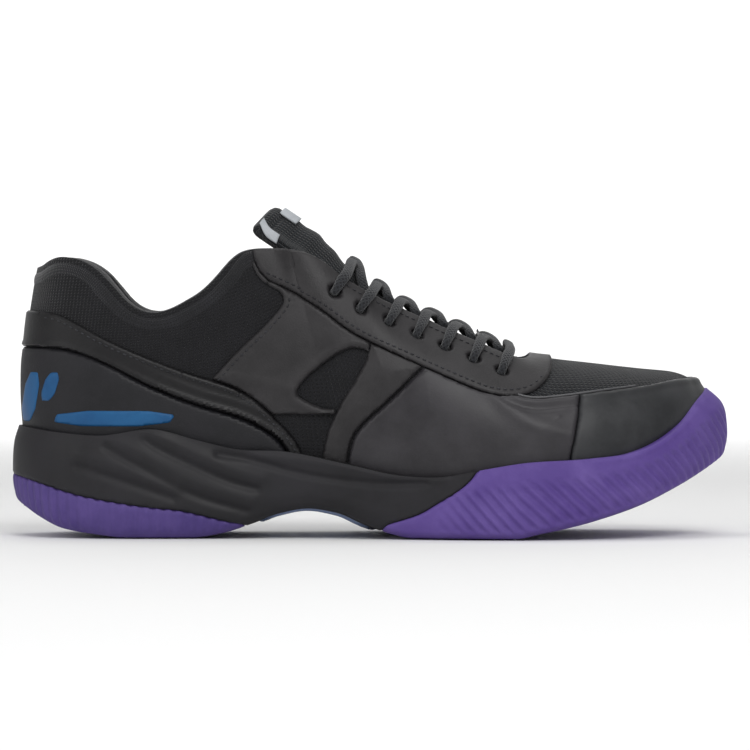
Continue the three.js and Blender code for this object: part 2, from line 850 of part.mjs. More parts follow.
// ---------------------------------------------------------------- insole board and sockliner
parts.insole_board = planBody([
  [FEATHER_INSET + UPPER, above(cupFloor, GAP)],
  [FEATHER_INSET + UPPER, above(cupFloor, GAP + BOARD)],
]);
const linerInset = FEATHER_INSET + UPPER + STIFFENER + LINING + 6 * GAP;
parts.sockliner = planBody([
  [linerInset + 1, above(cupFloor, BOARD + 2 * GAP)],
  [linerInset, above(cupFloor, BOARD + 2 * GAP + SOCKLINER)],
]);

// ---------------------------------------------------------------- sole
// The sole's shape, moved in from its sides and up from its underside.
function soleLevels(inset, lift) {
  const share = (f) => (x) => (ground(x) + lift) * (1 - f) + rim(x) * f;
  return [
    [MIDSOLE_BEVEL + inset, share(0)],
    [2 + inset, share(0.07)],
    [0.6 + inset, share(0.2)],
    [inset, share(0.5)],
    [(x) => rimLean(x) * 0.3 + inset, share(0.82)],
    [(x) => rimLean(x) + inset, rim],
  ];
}
const sole = planBody(soleLevels(0, 0)).subtract(formVolume(outerFace + GAP, BOARD + 2 * GAP));
const core = planBody(soleLevels(RUBBER, RUBBER));
const coreInside = planBody(soleLevels(RUBBER + 2 * GAP, RUBBER + 2 * GAP));
const HEEL_RUBBER = [
  [-160, 27],
  [-147.6, 25],
  [-136, 22],
  [-124, 18.2],
  [-113, 15.7],
  [-90, 12],
  [-78, 11.2],
  [-67, 8.4],
  [-50, 5.2],
  [-49, -20],
].map(side);
const FORE_RUBBER = [
  [3, -20],
  [4, 4.5],
  [12, 7],
  [20.3, 9.9],
  [26, 13.6],
  [37.6, 20.7],
  [43.4, 27.3],
  [47, 38],
  [110, 50],
  [160, 82],
].map(side);
parts.outsole_heel = sole.intersect(underOf(HEEL_RUBBER)).subtract(core);
parts.outsole_forefoot = sole.intersect(underOf(FORE_RUBBER)).subtract(core);

const SHANK_BACK = -45 * gradeX;
const SHANK_FRONT = 0;
const shankZone = (clear) =>
  prism([
    [SHANK_BACK - clear, -REACH],
    [SHANK_FRONT + clear, -REACH],
    [SHANK_FRONT + clear, REACH],
    [SHANK_BACK - clear, REACH],
  ]);
const shankPlate = (clear) =>
  planBody([
    [11 * gradeY - clear, above(ground, -4 * clear)],
    [11 * gradeY - clear, above(ground, SHANK + clear)],
  ]).intersect(shankZone(clear));
parts.shank_plate = shankPlate(0);
const shellOnly = sole.subtract(underOf(HEEL_RUBBER, -GAP)).subtract(underOf(FORE_RUBBER, -GAP));
parts.midsole = shellOnly.add(coreInside.intersect(sole)).subtract(shankPlate(GAP));

// ---------------------------------------------------------------- labels
// A plate that lies on the form between two side-view outlines, used for the sewn-in labels.
const sizeLabelOutline = [
  [-61, 118],
  [-46, 118.5],
  [-46, 124],
  [-61, 123],
].map(side);
const onTongue = layer(
  (p) => tongueTop(p) + GAP,
  (p) => tongueTop(p) + GAP + LABEL,
);
parts.size_label = onTongue.intersect(prism(sizeLabelOutline)).intersect(halfSpace(LATERAL));
const LABEL_HALF = 9;
const tongueLabelOutline = [
  [-36, 150],
  [-29, 150],
  [-22.5, 118],
  [-29, 118],
].map(side);
parts.tongue_label = onTongue.intersect(
  prism(tongueLabelOutline, LABEL_HALF * gradeY, instepShift(-30 * gradeX)),
);

// ---------------------------------------------------------------- lace
// Each strand goes down through an eyelet, comes up inside the throat, crosses over the tongue and the
// other eyestay's edge, and goes down through the next eyelet.
const OVER = outerFace + LACE_R + 3 * GAP;
const UNDER = FOAM_TOP - LINING - LACE_R - GAP;
const LOW = TONGUE_CROWN + LACE_R + 2 * GAP;
const HIGH = LOW + 2 * LACE_R + GAP;
const UNDER_EDGE = 2.5; // how far inside the throat the lace comes up
const off = ({ at, out }, offset) => at.clone().addScaledVector(out, offset);
const eyelet = (sign, k) => onForm(sign, pointAlong(eyeletRow, eyeletShare(k)));
const nearEdge = (sign, k, past) => onForm(sign, pointAlong(offsetLine(throatEdge, past), eyeletShare(k)));

// The form's top at a share of the throat's length, to one side of the middle of the instep.
function instep(share, away = 0) {
  const [x] = pointAlong(throatEdge, share);
  const from = new THREE.Vector3(x, instepShift(x) + away * gradeY, REACH);
  const [hit] = new THREE.Raycaster(from, new THREE.Vector3(0, 0, -1)).intersectObject(formMesh);
  const out = hit.face.normal.clone();
  return { at: hit.point, out: out.z < 0 ? out.negate() : out };
}

// From over the edge down through an eyelet.
const throughEyelet = (sign, k) => [
  off(nearEdge(sign, k, 0), OVER + LACE_R / 2),
  off(eyelet(sign, k), OVER),
  off(eyelet(sign, k), UNDER),
];

// One strand, from the bottom eyelet on one side to a top eyelet.
function strand(startSide) {
  const points = [];
  const half = THROAT_HALF / 2;
  let sign = startSide;
  for (let k = 0; k < EYELET_PAIRS; k += 1) {
    points.push(...throughEyelet(sign, k));
    if (k === EYELET_PAIRS - 1) {
      const [x, z] = pointAlong(eyeletRow, eyeletShare(k));
      points.push(off(onForm(sign, [x - 1, z - 12]), UNDER - STIFFENER - 2 * GAP));
      break;
    }
    points.push(off(nearEdge(sign, k, -UNDER_EDGE), UNDER + LACE_R / 2));
    const at = (f) => THREE.MathUtils.lerp(eyeletShare(k), eyeletShare(k + 1), f);
    const middle = (k % 2 === 0) === (startSide === LATERAL) ? HIGH : LOW;
    points.push(off(instep(at(0.25), sign * half), (UNDER + middle) / 2 + LACE_R));
    points.push(off(instep(at(0.5)), middle));
    points.push(off(instep(at(0.75), -sign * half), (OVER + middle) / 2 + 0.5));
    sign = -sign;
  }
  return points;
}

const routePoints = [
  ...strand(LATERAL).reverse(),
  off(instep(eyeletShare(0), LATERAL * THROAT_HALF * 0.5), OVER),
  off(instep(eyeletShare(0)), OVER),
  off(instep(eyeletShare(0), MEDIAL * THROAT_HALF * 0.5), OVER),
  ...strand(MEDIAL),
];
const route = new THREE.CatmullRomCurve3(routePoints, false, "centripetal");
route.getPointAt = route.getPoint;
route.getTangentAt = route.getTangent;
const laceSection = new THREE.Shape().absarc(0, 0, LACE_R, 0, 2 * Math.PI);
parts.lace = solidOf(
  new THREE.ExtrudeGeometry(laceSection, {
    extrudePath: route,
    steps: routePoints.length - 1,
    curveSegments: 4,
    bevelEnabled: false,
  }),
);

// The two tips carry on from the lace's ends, down inside the quarters.
const tipGeometry = new THREE.CylinderGeometry(TIP_R, TIP_R, TIP_LENGTH, 8);
const tip = (end, before) => {
  const along = end.clone().sub(before).normalize();
  const turn = new THREE.Quaternion().setFromUnitVectors(new THREE.Vector3(0, 1, 0), along);
  const middle = end.clone().addScaledVector(along, TIP_LENGTH / 2 + GAP);
  return solidOf(tipGeometry.clone().applyQuaternion(turn).translate(middle.x, middle.y, middle.z));
};
const last = routePoints.length - 1;
parts.lace_tip_lateral = tip(routePoints[0], routePoints[1]);
parts.lace_tip_medial = tip(routePoints[last], routePoints[last - 1]);

// ---------------------------------------------------------------- materials and the scene graph
const finish = (color, roughness, metalness = 0) => ({ color, roughness, metalness });
const FINISHES = {
  purple_rubber: finish(0x6a52a0, 0.55),
  black_foam: finish(0x2b2a2e, 0.6),
  clear_shank: finish(0x8fa3c8, 0.35),
  board: finish(0xb9b2a4, 0.9),
  insole_fabric: finish(0x222226, 0.95),
  black_mesh: finish(0x1d1e22, 0.95),
  stiffener: finish(0xd9d4c8, 0.7),
  padding: finish(0x4a4a4e, 1),
  lining_fabric: finish(0x18181b, 0.95),
  black_leather: finish(0x2e2d2f, 0.5),
  gloss_film: finish(0x37353b, 0.35),
  toe_film: finish(0x2d2f31, 0.4),
  lace_cord: finish(0x131316, 0.9),
  lace_tip: finish(0x111114, 0.3),
  white_label: finish(0xc9ced2, 0.85),
};
const SLOTS = {
  outsole_forefoot: "purple_rubber",
  outsole_heel: "purple_rubber",
  midsole: "black_foam",
  shank_plate: "clear_shank",
  insole_board: "board",
  sockliner: "insole_fabric",
  vamp: "black_mesh",
  quarter_lateral: "black_mesh",
  quarter_medial: "black_mesh",
  heel_counter: "stiffener",
  toe_puff: "stiffener",
  interlining: "padding",
  collar_padding: "padding",
  lining: "lining_fabric",
  heel_panel: "black_leather",
  heel_band: "black_leather",
  side_panel_lateral: "black_leather",
  side_panel_medial: "black_leather",
  eyestay_lateral: "black_leather",
  eyestay_medial: "black_leather",
  midfoot_strap_lateral: "gloss_film",
  midfoot_strap_medial: "gloss_film",
  forefoot_guard_lateral: "gloss_film",
  forefoot_guard_medial: "gloss_film",
  toe_cap: "toe_film",
  tongue_face: "black_mesh",
  tongue_padding: "padding",
  tongue_lining: "lining_fabric",
  tongue_label: "white_label",
  size_label: "white_label",
  lace: "lace_cord",
  lace_tip_lateral: "lace_tip",
  lace_tip_medial: "lace_tip",
};

function meshOf(name, solid) {
  const { vertProperties, triVerts } = solid.getMesh();
  const geometry = new THREE.BufferGeometry();
  geometry.setAttribute("position", new THREE.BufferAttribute(vertProperties, 3));
  geometry.setIndex(new THREE.BufferAttribute(triVerts, 1));
  geometry.computeVertexNormals();
  const mesh = new THREE.Mesh(geometry, new THREE.MeshStandardMaterial(FINISHES[SLOTS[name]]));
  mesh.name = name;
  return mesh;
}

const shoe = new THREE.Group();
Object.entries(parts).forEach(([name, solid]) => shoe.add(meshOf(name, solid)));

export default shoe;
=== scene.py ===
# A low-cut court shoe for the right foot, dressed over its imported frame.
# Patterns are in millimetres at the sample size and are graded to the frame's boxes; meshes are in metres.
# +X is the toe, -Y the lateral side. Each upper piece is a sheet of the last, trimmed in side view.

import math

import bmesh
import bpy
import numpy as np
from mathutils import Matrix, Vector


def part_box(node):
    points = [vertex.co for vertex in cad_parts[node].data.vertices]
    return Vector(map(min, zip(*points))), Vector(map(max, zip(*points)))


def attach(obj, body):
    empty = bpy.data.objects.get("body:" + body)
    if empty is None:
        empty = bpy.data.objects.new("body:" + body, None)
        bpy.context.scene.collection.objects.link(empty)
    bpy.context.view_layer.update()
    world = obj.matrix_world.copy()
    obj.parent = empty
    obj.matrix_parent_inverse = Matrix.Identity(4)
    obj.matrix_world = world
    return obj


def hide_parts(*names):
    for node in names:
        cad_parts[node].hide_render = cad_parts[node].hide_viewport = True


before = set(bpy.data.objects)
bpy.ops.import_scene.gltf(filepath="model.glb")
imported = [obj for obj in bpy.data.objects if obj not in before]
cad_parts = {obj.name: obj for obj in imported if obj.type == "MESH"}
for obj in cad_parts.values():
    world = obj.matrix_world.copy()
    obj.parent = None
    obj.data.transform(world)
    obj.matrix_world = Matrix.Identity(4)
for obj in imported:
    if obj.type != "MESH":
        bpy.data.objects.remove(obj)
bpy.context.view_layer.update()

MM = 0.001
LATERAL, MEDIAL = -1, 1
BOTH = (LATERAL, MEDIAL)

# ------------------------------------------------------------------ camera, light and floor
sole_low, sole_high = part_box("outsole_forefoot")
heel_low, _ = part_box("outsole_heel")
length = sole_high.x - heel_low.x
SAMPLE = {"length": 0.296, "width": 0.10841, "height": 0.06}
grade_x = length / SAMPLE["length"]
grade_y = (sole_high.y - sole_low.y) / SAMPLE["width"]
grade_z = (sole_high.z - sole_low.z) / SAMPLE["height"]

DISTANCE = 2.2
VIEW_WIDTH = 1.0475 * length
AIM = Vector((0.0017, 0, 0.0655))
ELEVATION = math.radians(1.0)

camera_data = bpy.data.cameras.new("camera")
camera_data.sensor_width = 36
camera_data.lens = 36 * DISTANCE / VIEW_WIDTH
camera = bpy.data.objects.new("camera", camera_data)
bpy.context.collection.objects.link(camera)
camera.location = AIM + Vector((0, -DISTANCE * math.cos(ELEVATION), DISTANCE * math.sin(ELEVATION)))
camera.rotation_euler = (math.pi / 2 - ELEVATION, 0, 0)
bpy.context.scene.camera = camera


def area_light(name, place, size, power, target=(0, 0, 0.06)):
    data = bpy.data.lights.new(name, "AREA")
    data.size = size
    data.energy = power
    light = bpy.data.objects.new(name, data)
    light.location = place
    light.rotation_euler = (Vector(target) - Vector(place)).to_track_quat("-Z", "Y").to_euler()
    bpy.context.collection.objects.link(light)


area_light("key", (0.35, -1.2, 1.3), 0.9, 13)
area_light("left_fill", (-1.3, -0.8, 0.7), 1.0, 5)
area_light("front_fill", (0.2, -1.7, 0.25), 1.2, 3)
area_light("top", (0.0, 0.3, 1.5), 1.0, 6)
area_light("backdrop", (0, 1.9, 1.6), 1.6, 36, (0, 3.6, 0.2))

world = bpy.data.worlds.new("studio")
world.use_nodes = True
world.node_tree.nodes["Background"].inputs["Color"].default_value = (1, 1, 1, 1)
world.node_tree.nodes["Background"].inputs["Strength"].default_value = 0.42
bpy.context.scene.world = world
bpy.context.scene.view_settings.view_transform = "Standard"


# ------------------------------------------------------------------ materials
class Finish:
    """A principled material built node by node."""

    def __init__(self, name, colour, roughness, **sockets):
        self.material = bpy.data.materials.new(name)
        self.material.use_nodes = True
        self.nodes = self.material.node_tree.nodes
        self.links = self.material.node_tree.links
        self.shader = self.nodes["Principled BSDF"]
        self.shader.inputs["Base Color"].default_value = (*colour, 1)
        self.shader.inputs["Roughness"].default_value = roughness
        self.shader.inputs["Specular IOR Level"].default_value = 0.3
        for socket, value in sockets.items():
            self.shader.inputs[socket.replace("_", " ")].default_value = value
        self.height = None

    def node(self, kind, settings=None, **inputs):
        made = self.nodes.new(kind)
        for key, value in (settings or {}).items():
            setattr(made, key, value)
        for key, value in inputs.items():
            socket = made.inputs[int(key[1:])] if key[0] == "i" and key[1:].isdigit() else made.inputs[key]
            if isinstance(value, bpy.types.NodeSocket):
                self.links.new(value, socket)
            else:
                socket.default_value = value
        return made

    def coordinates(self, scale=(1, 1, 1)):
        source = self.node("ShaderNodeTexCoord").outputs["Object"]
        return self.node("ShaderNodeMapping", Vector=source, Scale=scale).outputs[0]

    def cloth_axes(self):
        """The two directions of the cloth's own UV map, in millimetres."""
        uv = self.node("ShaderNodeUVMap", {"uv_map": "cloth"}).outputs[0]
        return self.node("ShaderNodeSeparateXYZ", Vector=uv).outputs

    def noise(self, where, scale, detail=3.0, roughness=0.55):
        return self.node(
            "ShaderNodeTexNoise", Vector=where, Scale=scale, Detail=detail, Roughness=roughness
        ).outputs[0]

    def cells(self, where, scale, feature="F1"):
        made = self.node("ShaderNodeTexVoronoi", {"feature": feature}, Vector=where, Scale=scale)
        return made.outputs["Distance"]

    def maths(self, operation, first, second=0.0):
        return self.node("ShaderNodeMath", {"operation": operation}, i0=first, i1=second).outputs[0]

    def remap(self, value, low, high, to_low, to_high):
        made = self.node("ShaderNodeMapRange", Value=value)
        for socket, number in zip(("From Min", "From Max", "To Min", "To Max"), (low, high, to_low, to_high)):
            made.inputs[socket].default_value = number
        return made.outputs[0]

    def mix(self, factor, first, second):
        made = self.node("ShaderNodeMix", {"data_type": "RGBA"})
        self.links.new(factor, made.inputs["Factor"])
        for index, colour in ((6, first), (7, second)):
            if isinstance(colour, bpy.types.NodeSocket):
                self.links.new(colour, made.inputs[index])
            else:
                made.inputs[index].default_value = (*colour, 1)
        return made.outputs[2]

    def colour_by(self, factor, first, second):
        self.links.new(self.mix(factor, first, second), self.shader.inputs["Base Color"])
        return self

    def roughness_by(self, factor, low, high):
        self.links.new(self.remap(factor, 0, 1, low, high), self.shader.inputs["Roughness"])
        return self

    def bump(self, height, depth, strength=1.0):
        made = self.node("ShaderNodeBump", Height=height, Strength=strength, Distance=depth)
        if self.height is not None:
            self.links.new(self.height, made.inputs["Normal"])
        self.height = made.outputs[0]
        self.links.new(self.height, self.shader.inputs["Normal"])
        return self


def worn(finish, colour, lighter, scale=60.0):
    """Broad, soft colour variation with a lighter, dusty tone."""
    where = finish.coordinates()
    cloud = finish.remap(finish.noise(where, scale, 5.0, 0.65), 0.38, 0.68, 0.0, 1.0)
    return finish.colour_by(cloud, colour, lighter).roughness_by(cloud, *finish.rough_range)


def leather(name, colour, lighter, rough, grain=1500.0, depth=0.00012, **sockets):
    """Smooth coated synthetic leather with a fine pebble grain."""
    finish = Finish(name, colour, rough[0], **sockets)
    finish.rough_range = rough
    worn(finish, colour, lighter)
    where = finish.coordinates()
    pebble = finish.cells(where, grain, "SMOOTH_F1")
    finish.bump(pebble, depth, 0.55)
    return finish.bump(finish.noise(where, grain * 0.12, 4.0), depth * 2, 0.35).material


def woven(name, colour, lighter, pitch=(1.5, 1.3), depth=0.00035, gaps=(0.004, 0.004, 0.005), **sockets):
    """Air mesh: rows of small round openings, staggered, in a knitted ground. UV is in millimetres."""
    finish = Finish(name, colour, 0.92, **sockets)
    axes = finish.cloth_axes()
    across = finish.maths("MULTIPLY", axes[0], math.tau / pitch[0] / 2)
    along = finish.maths("MULTIPLY", axes[1], math.tau / pitch[1] / 2)
    weave = finish.maths("MULTIPLY", finish.maths("SINE", across), finish.maths("SINE", along))
    opening = finish.remap(finish.maths("ABSOLUTE", weave), 0.45, 0.85, 0.0, 1.0)
    where = finish.coordinates()
    cloud = finish.remap(finish.noise(where, 90, 5.0), 0.35, 0.7, 0.0, 1.0)
    yarn = finish.mix(cloud, colour, lighter)
    finish.links.new(finish.mix(opening, yarn, gaps), finish.shader.inputs["Base Color"])
    fibre = finish.noise(where, 5200, 2.0)
    finish.bump(finish.maths("MULTIPLY", opening, -1.0), depth, 0.9)
    return finish.bump(fibre, depth * 0.5, 0.5).material


def moulded(name, colour, lighter, rough, speckle=900.0, depth=0.00006, **sockets):
    """Moulded rubber, foam or film with a faint mould texture and scuffs."""
    finish = Finish(name, colour, rough[0], **sockets)
    finish.rough_range = rough
    worn(finish, colour, lighter, 45.0)
    where = finish.coordinates()
    finish.bump(finish.noise(where, speckle, 3.0), depth, 0.5)
    scuff = finish.noise(finish.coordinates(scale=(1, 3, 9)), 260, 2.0)
    return finish.bump(scuff, depth, 0.25).material


def braided(name, colour, lighter):
    """Braided cord: two crossing diagonals on the cord's own UV, in millimetres, with painted sheen on the
    crests and painted shade in the grooves.
    """
    finish = Finish(name, colour, 0.85, Sheen_Weight=0.25)
    axes = finish.cloth_axes()
    plus = finish.maths("SINE", finish.maths("MULTIPLY", finish.maths("ADD", axes[0], axes[1]), 3.6))
    minus = finish.maths("SINE", finish.maths("MULTIPLY", finish.maths("SUBTRACT", axes[0], axes[1]), 3.6))
    braid = finish.remap(finish.maths("MAXIMUM", plus, minus), -0.4, 1.0, 0.0, 1.0)
    # The colour follows the relief: crests are painted lighter and grooves darker, a painted sheen and shade
    # of the strands.
    finish.colour_by(braid, colour, lighter)
    finish.bump(braid, 0.0003, 0.8)
    return finish.bump(finish.noise(finish.coordinates(), 6000, 2.0), 0.0001, 0.4).material


LEATHER = leather("side_leather", (0.0173, 0.0161, 0.0173), (0.0300, 0.0282, 0.0300), (0.42, 0.58))
HEEL_LEATHER = leather("heel_leather", (0.0079, 0.0079, 0.0100), (0.0142, 0.0137, 0.0168), (0.45, 0.62))
BAND = leather("band_leather", (0.0049, 0.0046, 0.0054), (0.0089, 0.0084, 0.0095), (0.38, 0.52), 1900.0)
FILM = moulded("moulded_film", (0.0225, 0.021, 0.024), (0.0375, 0.03525, 0.03975), (0.36, 0.5))
TOE_FILM = moulded("toe_film", (0.019, 0.01995, 0.02185), (0.0361, 0.03705, 0.0399), (0.38, 0.52))
MESH = woven("collar_mesh", (0.0050, 0.0050, 0.0063), (0.0092, 0.0092, 0.0113), Sheen_Weight=0.15)
VAMP_MESH = woven(
    "vamp_mesh", (0.0053, 0.0062, 0.0082), (0.0106, 0.0120, 0.0149), (1.9, 1.7), Sheen_Weight=0.15,
)
LINING = woven(
    "lining_knit", (0.008, 0.008, 0.0096), (0.0144, 0.0144, 0.0176), (1.0, 0.9), 0.0002, Sheen_Weight=0.3,
)
TONGUE_MESH = woven(
    "tongue_mesh", (0.0058, 0.0073, 0.0092), (0.0115, 0.0139, 0.0169), (1.7, 1.5), Sheen_Weight=0.2,
)
PURPLE = moulded("purple_rubber", (0.0870, 0.0475, 0.2345), (0.1292, 0.0806, 0.3010), (0.5, 0.66), 1300.0)
HEEL_PURPLE = moulded("heel_rubber", (0.0634, 0.0392, 0.1782), (0.0990, 0.0644, 0.2380), (0.52, 0.68), 1300.0)
FOAM = moulded("midsole_foam", (0.0103, 0.0098, 0.0118), (0.0176, 0.0167, 0.0201), (0.5, 0.64), 1500.0)
SHANK = moulded("shank_film", (0.16, 0.21, 0.36), (0.22, 0.28, 0.45), (0.22, 0.34), Coat_Weight=0.3)
BOARD = moulded("board_felt", (0.42, 0.38, 0.31), (0.55, 0.51, 0.43), (0.85, 0.95), 2500.0, 0.0002)
STIFF = moulded("stiffener_sheet", (0.6, 0.56, 0.48), (0.72, 0.68, 0.6), (0.6, 0.75), 1800.0)
PADDING = moulded("open_foam", (0.06, 0.06, 0.07), (0.1, 0.1, 0.11), (0.9, 1.0), 3000.0, 0.0003)
CORD = braided("lace_braid", (0.006, 0.006, 0.008), (0.020, 0.022, 0.026))
TIP = moulded("lace_tip", (0.008, 0.008, 0.01), (0.014, 0.014, 0.017), (0.2, 0.3), Coat_Weight=0.5)
LABEL = woven(
    "label_weave", (0.375, 0.3975, 0.42), (0.495, 0.5175, 0.54), (0.6, 0.6), 0.0001, (0.4, 0.42, 0.45),
)
THREAD = moulded("thread", (0.014, 0.014, 0.017), (0.04, 0.04, 0.046), (0.5, 0.7), 4000.0)
# A raised piping cord, coloured much lighter than the film it trims: the light colour is a painted highlight
# along the guard's rim.
PIPING_PAINTED_HIGHLIGHT = moulded("piping_film_painted_highlight", (0.075, 0.075, 0.08), (0.11, 0.11, 0.115), (0.3, 0.4))
INSOLE = woven(
    "insole_cloth", (0.014, 0.014, 0.018), (0.026, 0.026, 0.032), (1.1, 1.1), 0.0002, Sheen_Weight=0.3,
)
FLOOR = Finish("studio_floor", (0.86, 0.86, 0.86), 0.8).material
BLUE_PRINT = moulded("blue_print", (0.0054, 0.0675, 0.189), (0.01125, 0.099, 0.2475), (0.4, 0.55))


# ------------------------------------------------------------------ curves
def through(knots, limited=False):
    """A smooth curve through knots [a, value, ...]; a limited one never passes above or below a knot."""
    table = np.array(knots, dtype=float)
    a, v = table[:, 0], table[:, 1:]
    secant = np.diff(v, axis=0) / np.diff(a)[:, None]
    slope = np.empty_like(v)
    slope[0], slope[-1] = secant[0], secant[-1]
    before, after = secant[:-1], secant[1:]
    if limited:
        total = np.where(before + after == 0, 1, before + after)
        slope[1:-1] = np.where(before * after <= 0, 0, 2 * before * after / total)
    else:
        weight = ((a[1:-1] - a[:-2]) / (a[2:] - a[:-2]))[:, None]
        slope[1:-1] = before * (1 - weight) + after * weight

    def curve(at):
        at = np.asarray(at, dtype=float)
        k = np.clip(np.searchsorted(a, at, side="right") - 1, 0, len(a) - 2)
        span = (a[k + 1] - a[k])[..., None]
        f = np.clip((at - a[k]) / (a[k + 1] - a[k]), 0, 1)[..., None]
        start = v[k] * (2 * f**3 - 3 * f**2 + 1) + slope[k] * span * (f**3 - 2 * f**2 + f)
        value = start + v[k + 1] * (3 * f**2 - 2 * f**3) + slope[k + 1] * span * (f**3 - f**2)
        return value[..., 0] if v.shape[1] == 1 else value

    return curve


def reflected(half, flips):
    """The knots of a closed curve over -1..1, given its half; a flipped column turns about its end value."""
    def turned(row, about):
        return [2 * e - v if flip < 0 else v for v, e, flip in zip(row[1:], about[1:], flips)]

    first, last = half[0], half[-1]
    return [[-half[1][0], *turned(half[1], first)], *half, [2 - half[-2][0], *turned(half[-2], last)]]


def smooth(value, low, high):
    f = np.clip((value - low) / (high - low), 0, 1)
    return f * f * (3 - 2 * f)


def side(points):
    """Side-view points, graded from the sample size."""
    return [(x * grade_x, z * grade_z) for x, z in points]


def unit(vectors):
    return vectors / np.maximum(np.linalg.norm(vectors, axis=-1, keepdims=True), 1e-9)


def lengths_along(points):
    """The length run by each point of a line, from its first."""
    return np.concatenate([[0], np.cumsum(np.linalg.norm(np.diff(points, axis=0), axis=-1))])


def bead(distance, width):
    """A rounded line in relief, one high, over the distance from its middle."""
    return np.exp(-((distance / width) ** 2))


def wave(value, pitch):
    """A rounded groove and land, from 0 to 1, once in each pitch."""
    return 0.5 - 0.5 * np.cos(value * math.tau / pitch)


# ------------------------------------------------------------------ the sole's plan and side profiles
PLAN = [
    (-148, 0, 0), (-139, -23, 23), (-119, -36.5, 35.5), (-90, -40, 36.5), (-58, -38.5, 34),
    (-24, -38.5, 34.5), (10, -45, 42), (42, -52.5, 51), (70, -54, 54), (96, -48.5, 53),
    (120, -34.5, 46.5), (138, -13, 34), (148, 12, 12),
]
plan_knots = []
for k in range(-13, 14):
    wrapped = k - 24 if k > 12 else k + 24 if k < -12 else k
    x, lateral, medial = PLAN[abs(wrapped)]
    plan_knots.append((k / 12, x * grade_x, (lateral if wrapped > 0 else medial) * grade_y))
plan_curve = through(plan_knots)

ground = through(side([
    (-148, 12), (-139, 7.5), (-128, 3.4), (-113, 1.2), (-100, 0), (-72, 0), (-60, 1.8), (-48, 5.6),
    (-37, 9.8), (-26, 11.7), (-15, 10.1), (-4, 5.4), (6, 2), (16, 0), (58, 0), (70, 2.2), (84, 5),
    (98, 8.6), (112, 13), (126, 18.8), (138, 24.5), (148, 30),
]), limited=True)
rim = through(side([
    (-148, 45), (-128, 42.5), (-110, 41.5), (-88, 44), (-70, 39.5), (-55, 36), (-35, 35), (-10, 30),
    (12, 25.5), (28, 25), (45, 28), (60, 30.5), (90, 32.5), (107, 34.5), (120, 39.5), (130, 46),
    (138, 53.5), (148, 60),
]))
cup_floor = through(side([
    (-148, 26), (-100, 24.5), (-50, 22), (0, 18), (40, 14.5), (70, 15), (95, 19), (118, 26),
    (135, 33), (148, 39),
]))
RIM_INSET, TOE_LEAN, BEVEL = 1.6, 8.5, 5.0
half_length = 148 * grade_x
rim_lean = through([
    (-half_length, RIM_INSET + 1), (half_length * 0.66, RIM_INSET),
    (half_length * 0.86, RIM_INSET + 1.4), (half_length, TOE_LEAN),
])


def plan_at(u, inset=0.0):
    """The station's x, the plan point moved in by inset, and the outward direction."""
    step = 1e-3
    here, d = plan_curve(u), plan_curve(u + step) - plan_curve(u - step)
    d = unit(d)
    out = np.stack([d[..., 1], -d[..., 0]], -1)
    return here[..., 0], here - out * np.asarray(inset)[..., None], out


# ------------------------------------------------------------------ the last
ANKLE_FRONT = 8 / 18
FEATHER_INSET, BOARD_THICK, GAP = 9.0, 1.6, 0.3
top_line = through([
    (s, x * grade_x, y * grade_y, z * grade_z)
    for s, x, y, z in reflected([
        (0, -134.5, 0, 124), (0.083, -127, 18.5, 124), (0.167, -108, 26.5, 124), (0.25, -86, 28, 125.5),
        (0.333, -67, 25.5, 131), (0.38, -53, 21, 135.5), (0.415, -43, 12.5, 139),
        (ANKLE_FRONT, -37.5, 0, 140.5), (0.5, -19.5, 0, 124.5), (0.542, -4, 0, 107.5), (0.583, 12, 0, 96),
        (0.625, 29, 0, 88.5), (0.667, 46, 0, 80.6), (0.708, 61, 0, 74.4), (0.75, 76, 0, 72.2),
        (0.792, 90, 0, 70.6), (0.833, 102, 0, 69.2), (0.875, 111, 0, 68.2), (0.917, 116.5, 0, 67.7),
        (1, 121, 0, 67.3),
    ], (1, -1, 1))
])
instep_shift = through([
    (x * grade_x, y * grade_y) for x, y in ((-150, 0), (-40, -1), (40, 3), (121, 12))
])
fullness = through([
    (s, out * grade_y, rise * grade_z, top_out * grade_y, drop * grade_z)
    for s, out, rise, top_out, drop in reflected([
        (0, 8, 28, 7.5, 29), (0.083, 7, 29, 7, 29), (0.167, 6, 30, 6, 28), (0.25, 6, 31, 6.5, 27),
        (0.333, 6.5, 33, 9, 22), (0.38, 7, 35, 12, 17), (0.415, 7.2, 36, 21, 9),
        (ANKLE_FRONT, 7.5, 37, 31, 3), (0.5, 8, 38, 31, 1.5), (0.56, 9, 36, 31, 0.8),
        (0.625, 9.5, 33, 33, 0.5), (0.708, 9.5, 31, 38, 0), (0.792, 8.5, 28, 36, 0), (0.875, 6, 24, 27, 0),
        (0.94, 3.5, 19, 18, 0), (1, 2.5, 17, 14.5, 0),
    ], (1, 1, 1, 1))
])


def last_at(sign, s, t):
    """Points of the last, in millimetres, at s (heel to toe) and t (sole to top line)."""
    s, t = np.broadcast_arrays(np.asarray(s, float), np.asarray(t, float))
    station, at, out = plan_at(-sign * s, FEATHER_INSET)
    bottom = np.stack([at[..., 0], at[..., 1], cup_floor(station) + BOARD_THICK + 2 * GAP], -1)
    x, y, z = np.moveaxis(top_line(s), -1, 0)
    shift = instep_shift(x)
    top = np.stack([x, np.where(s >= ANKLE_FRONT - 1e-9, 0, sign * y) + shift, z], -1)
    low_out, rise, high_out, drop = np.moveaxis(fullness(s), -1, 0)
    near = top_line(s - 0.02)
    run = x - near[..., 0]
    climb = (z - near[..., 2]) / np.where(run == 0, 1, run)
    slope = smooth(s, ANKLE_FRONT - 0.04, ANKLE_FRONT + 0.04) * climb
    low = bottom + np.stack([out[..., 0] * low_out, out[..., 1] * low_out, rise], -1)
    high = top + np.stack(
        [out[..., 0] * high_out, out[..., 1] * high_out, out[..., 0] * high_out * slope - drop], -1
    )
    t = t[..., None]
    f = 1 - t
    return f**3 * bottom + 3 * f**2 * t * low + 3 * f * t**2 * high + t**3 * top


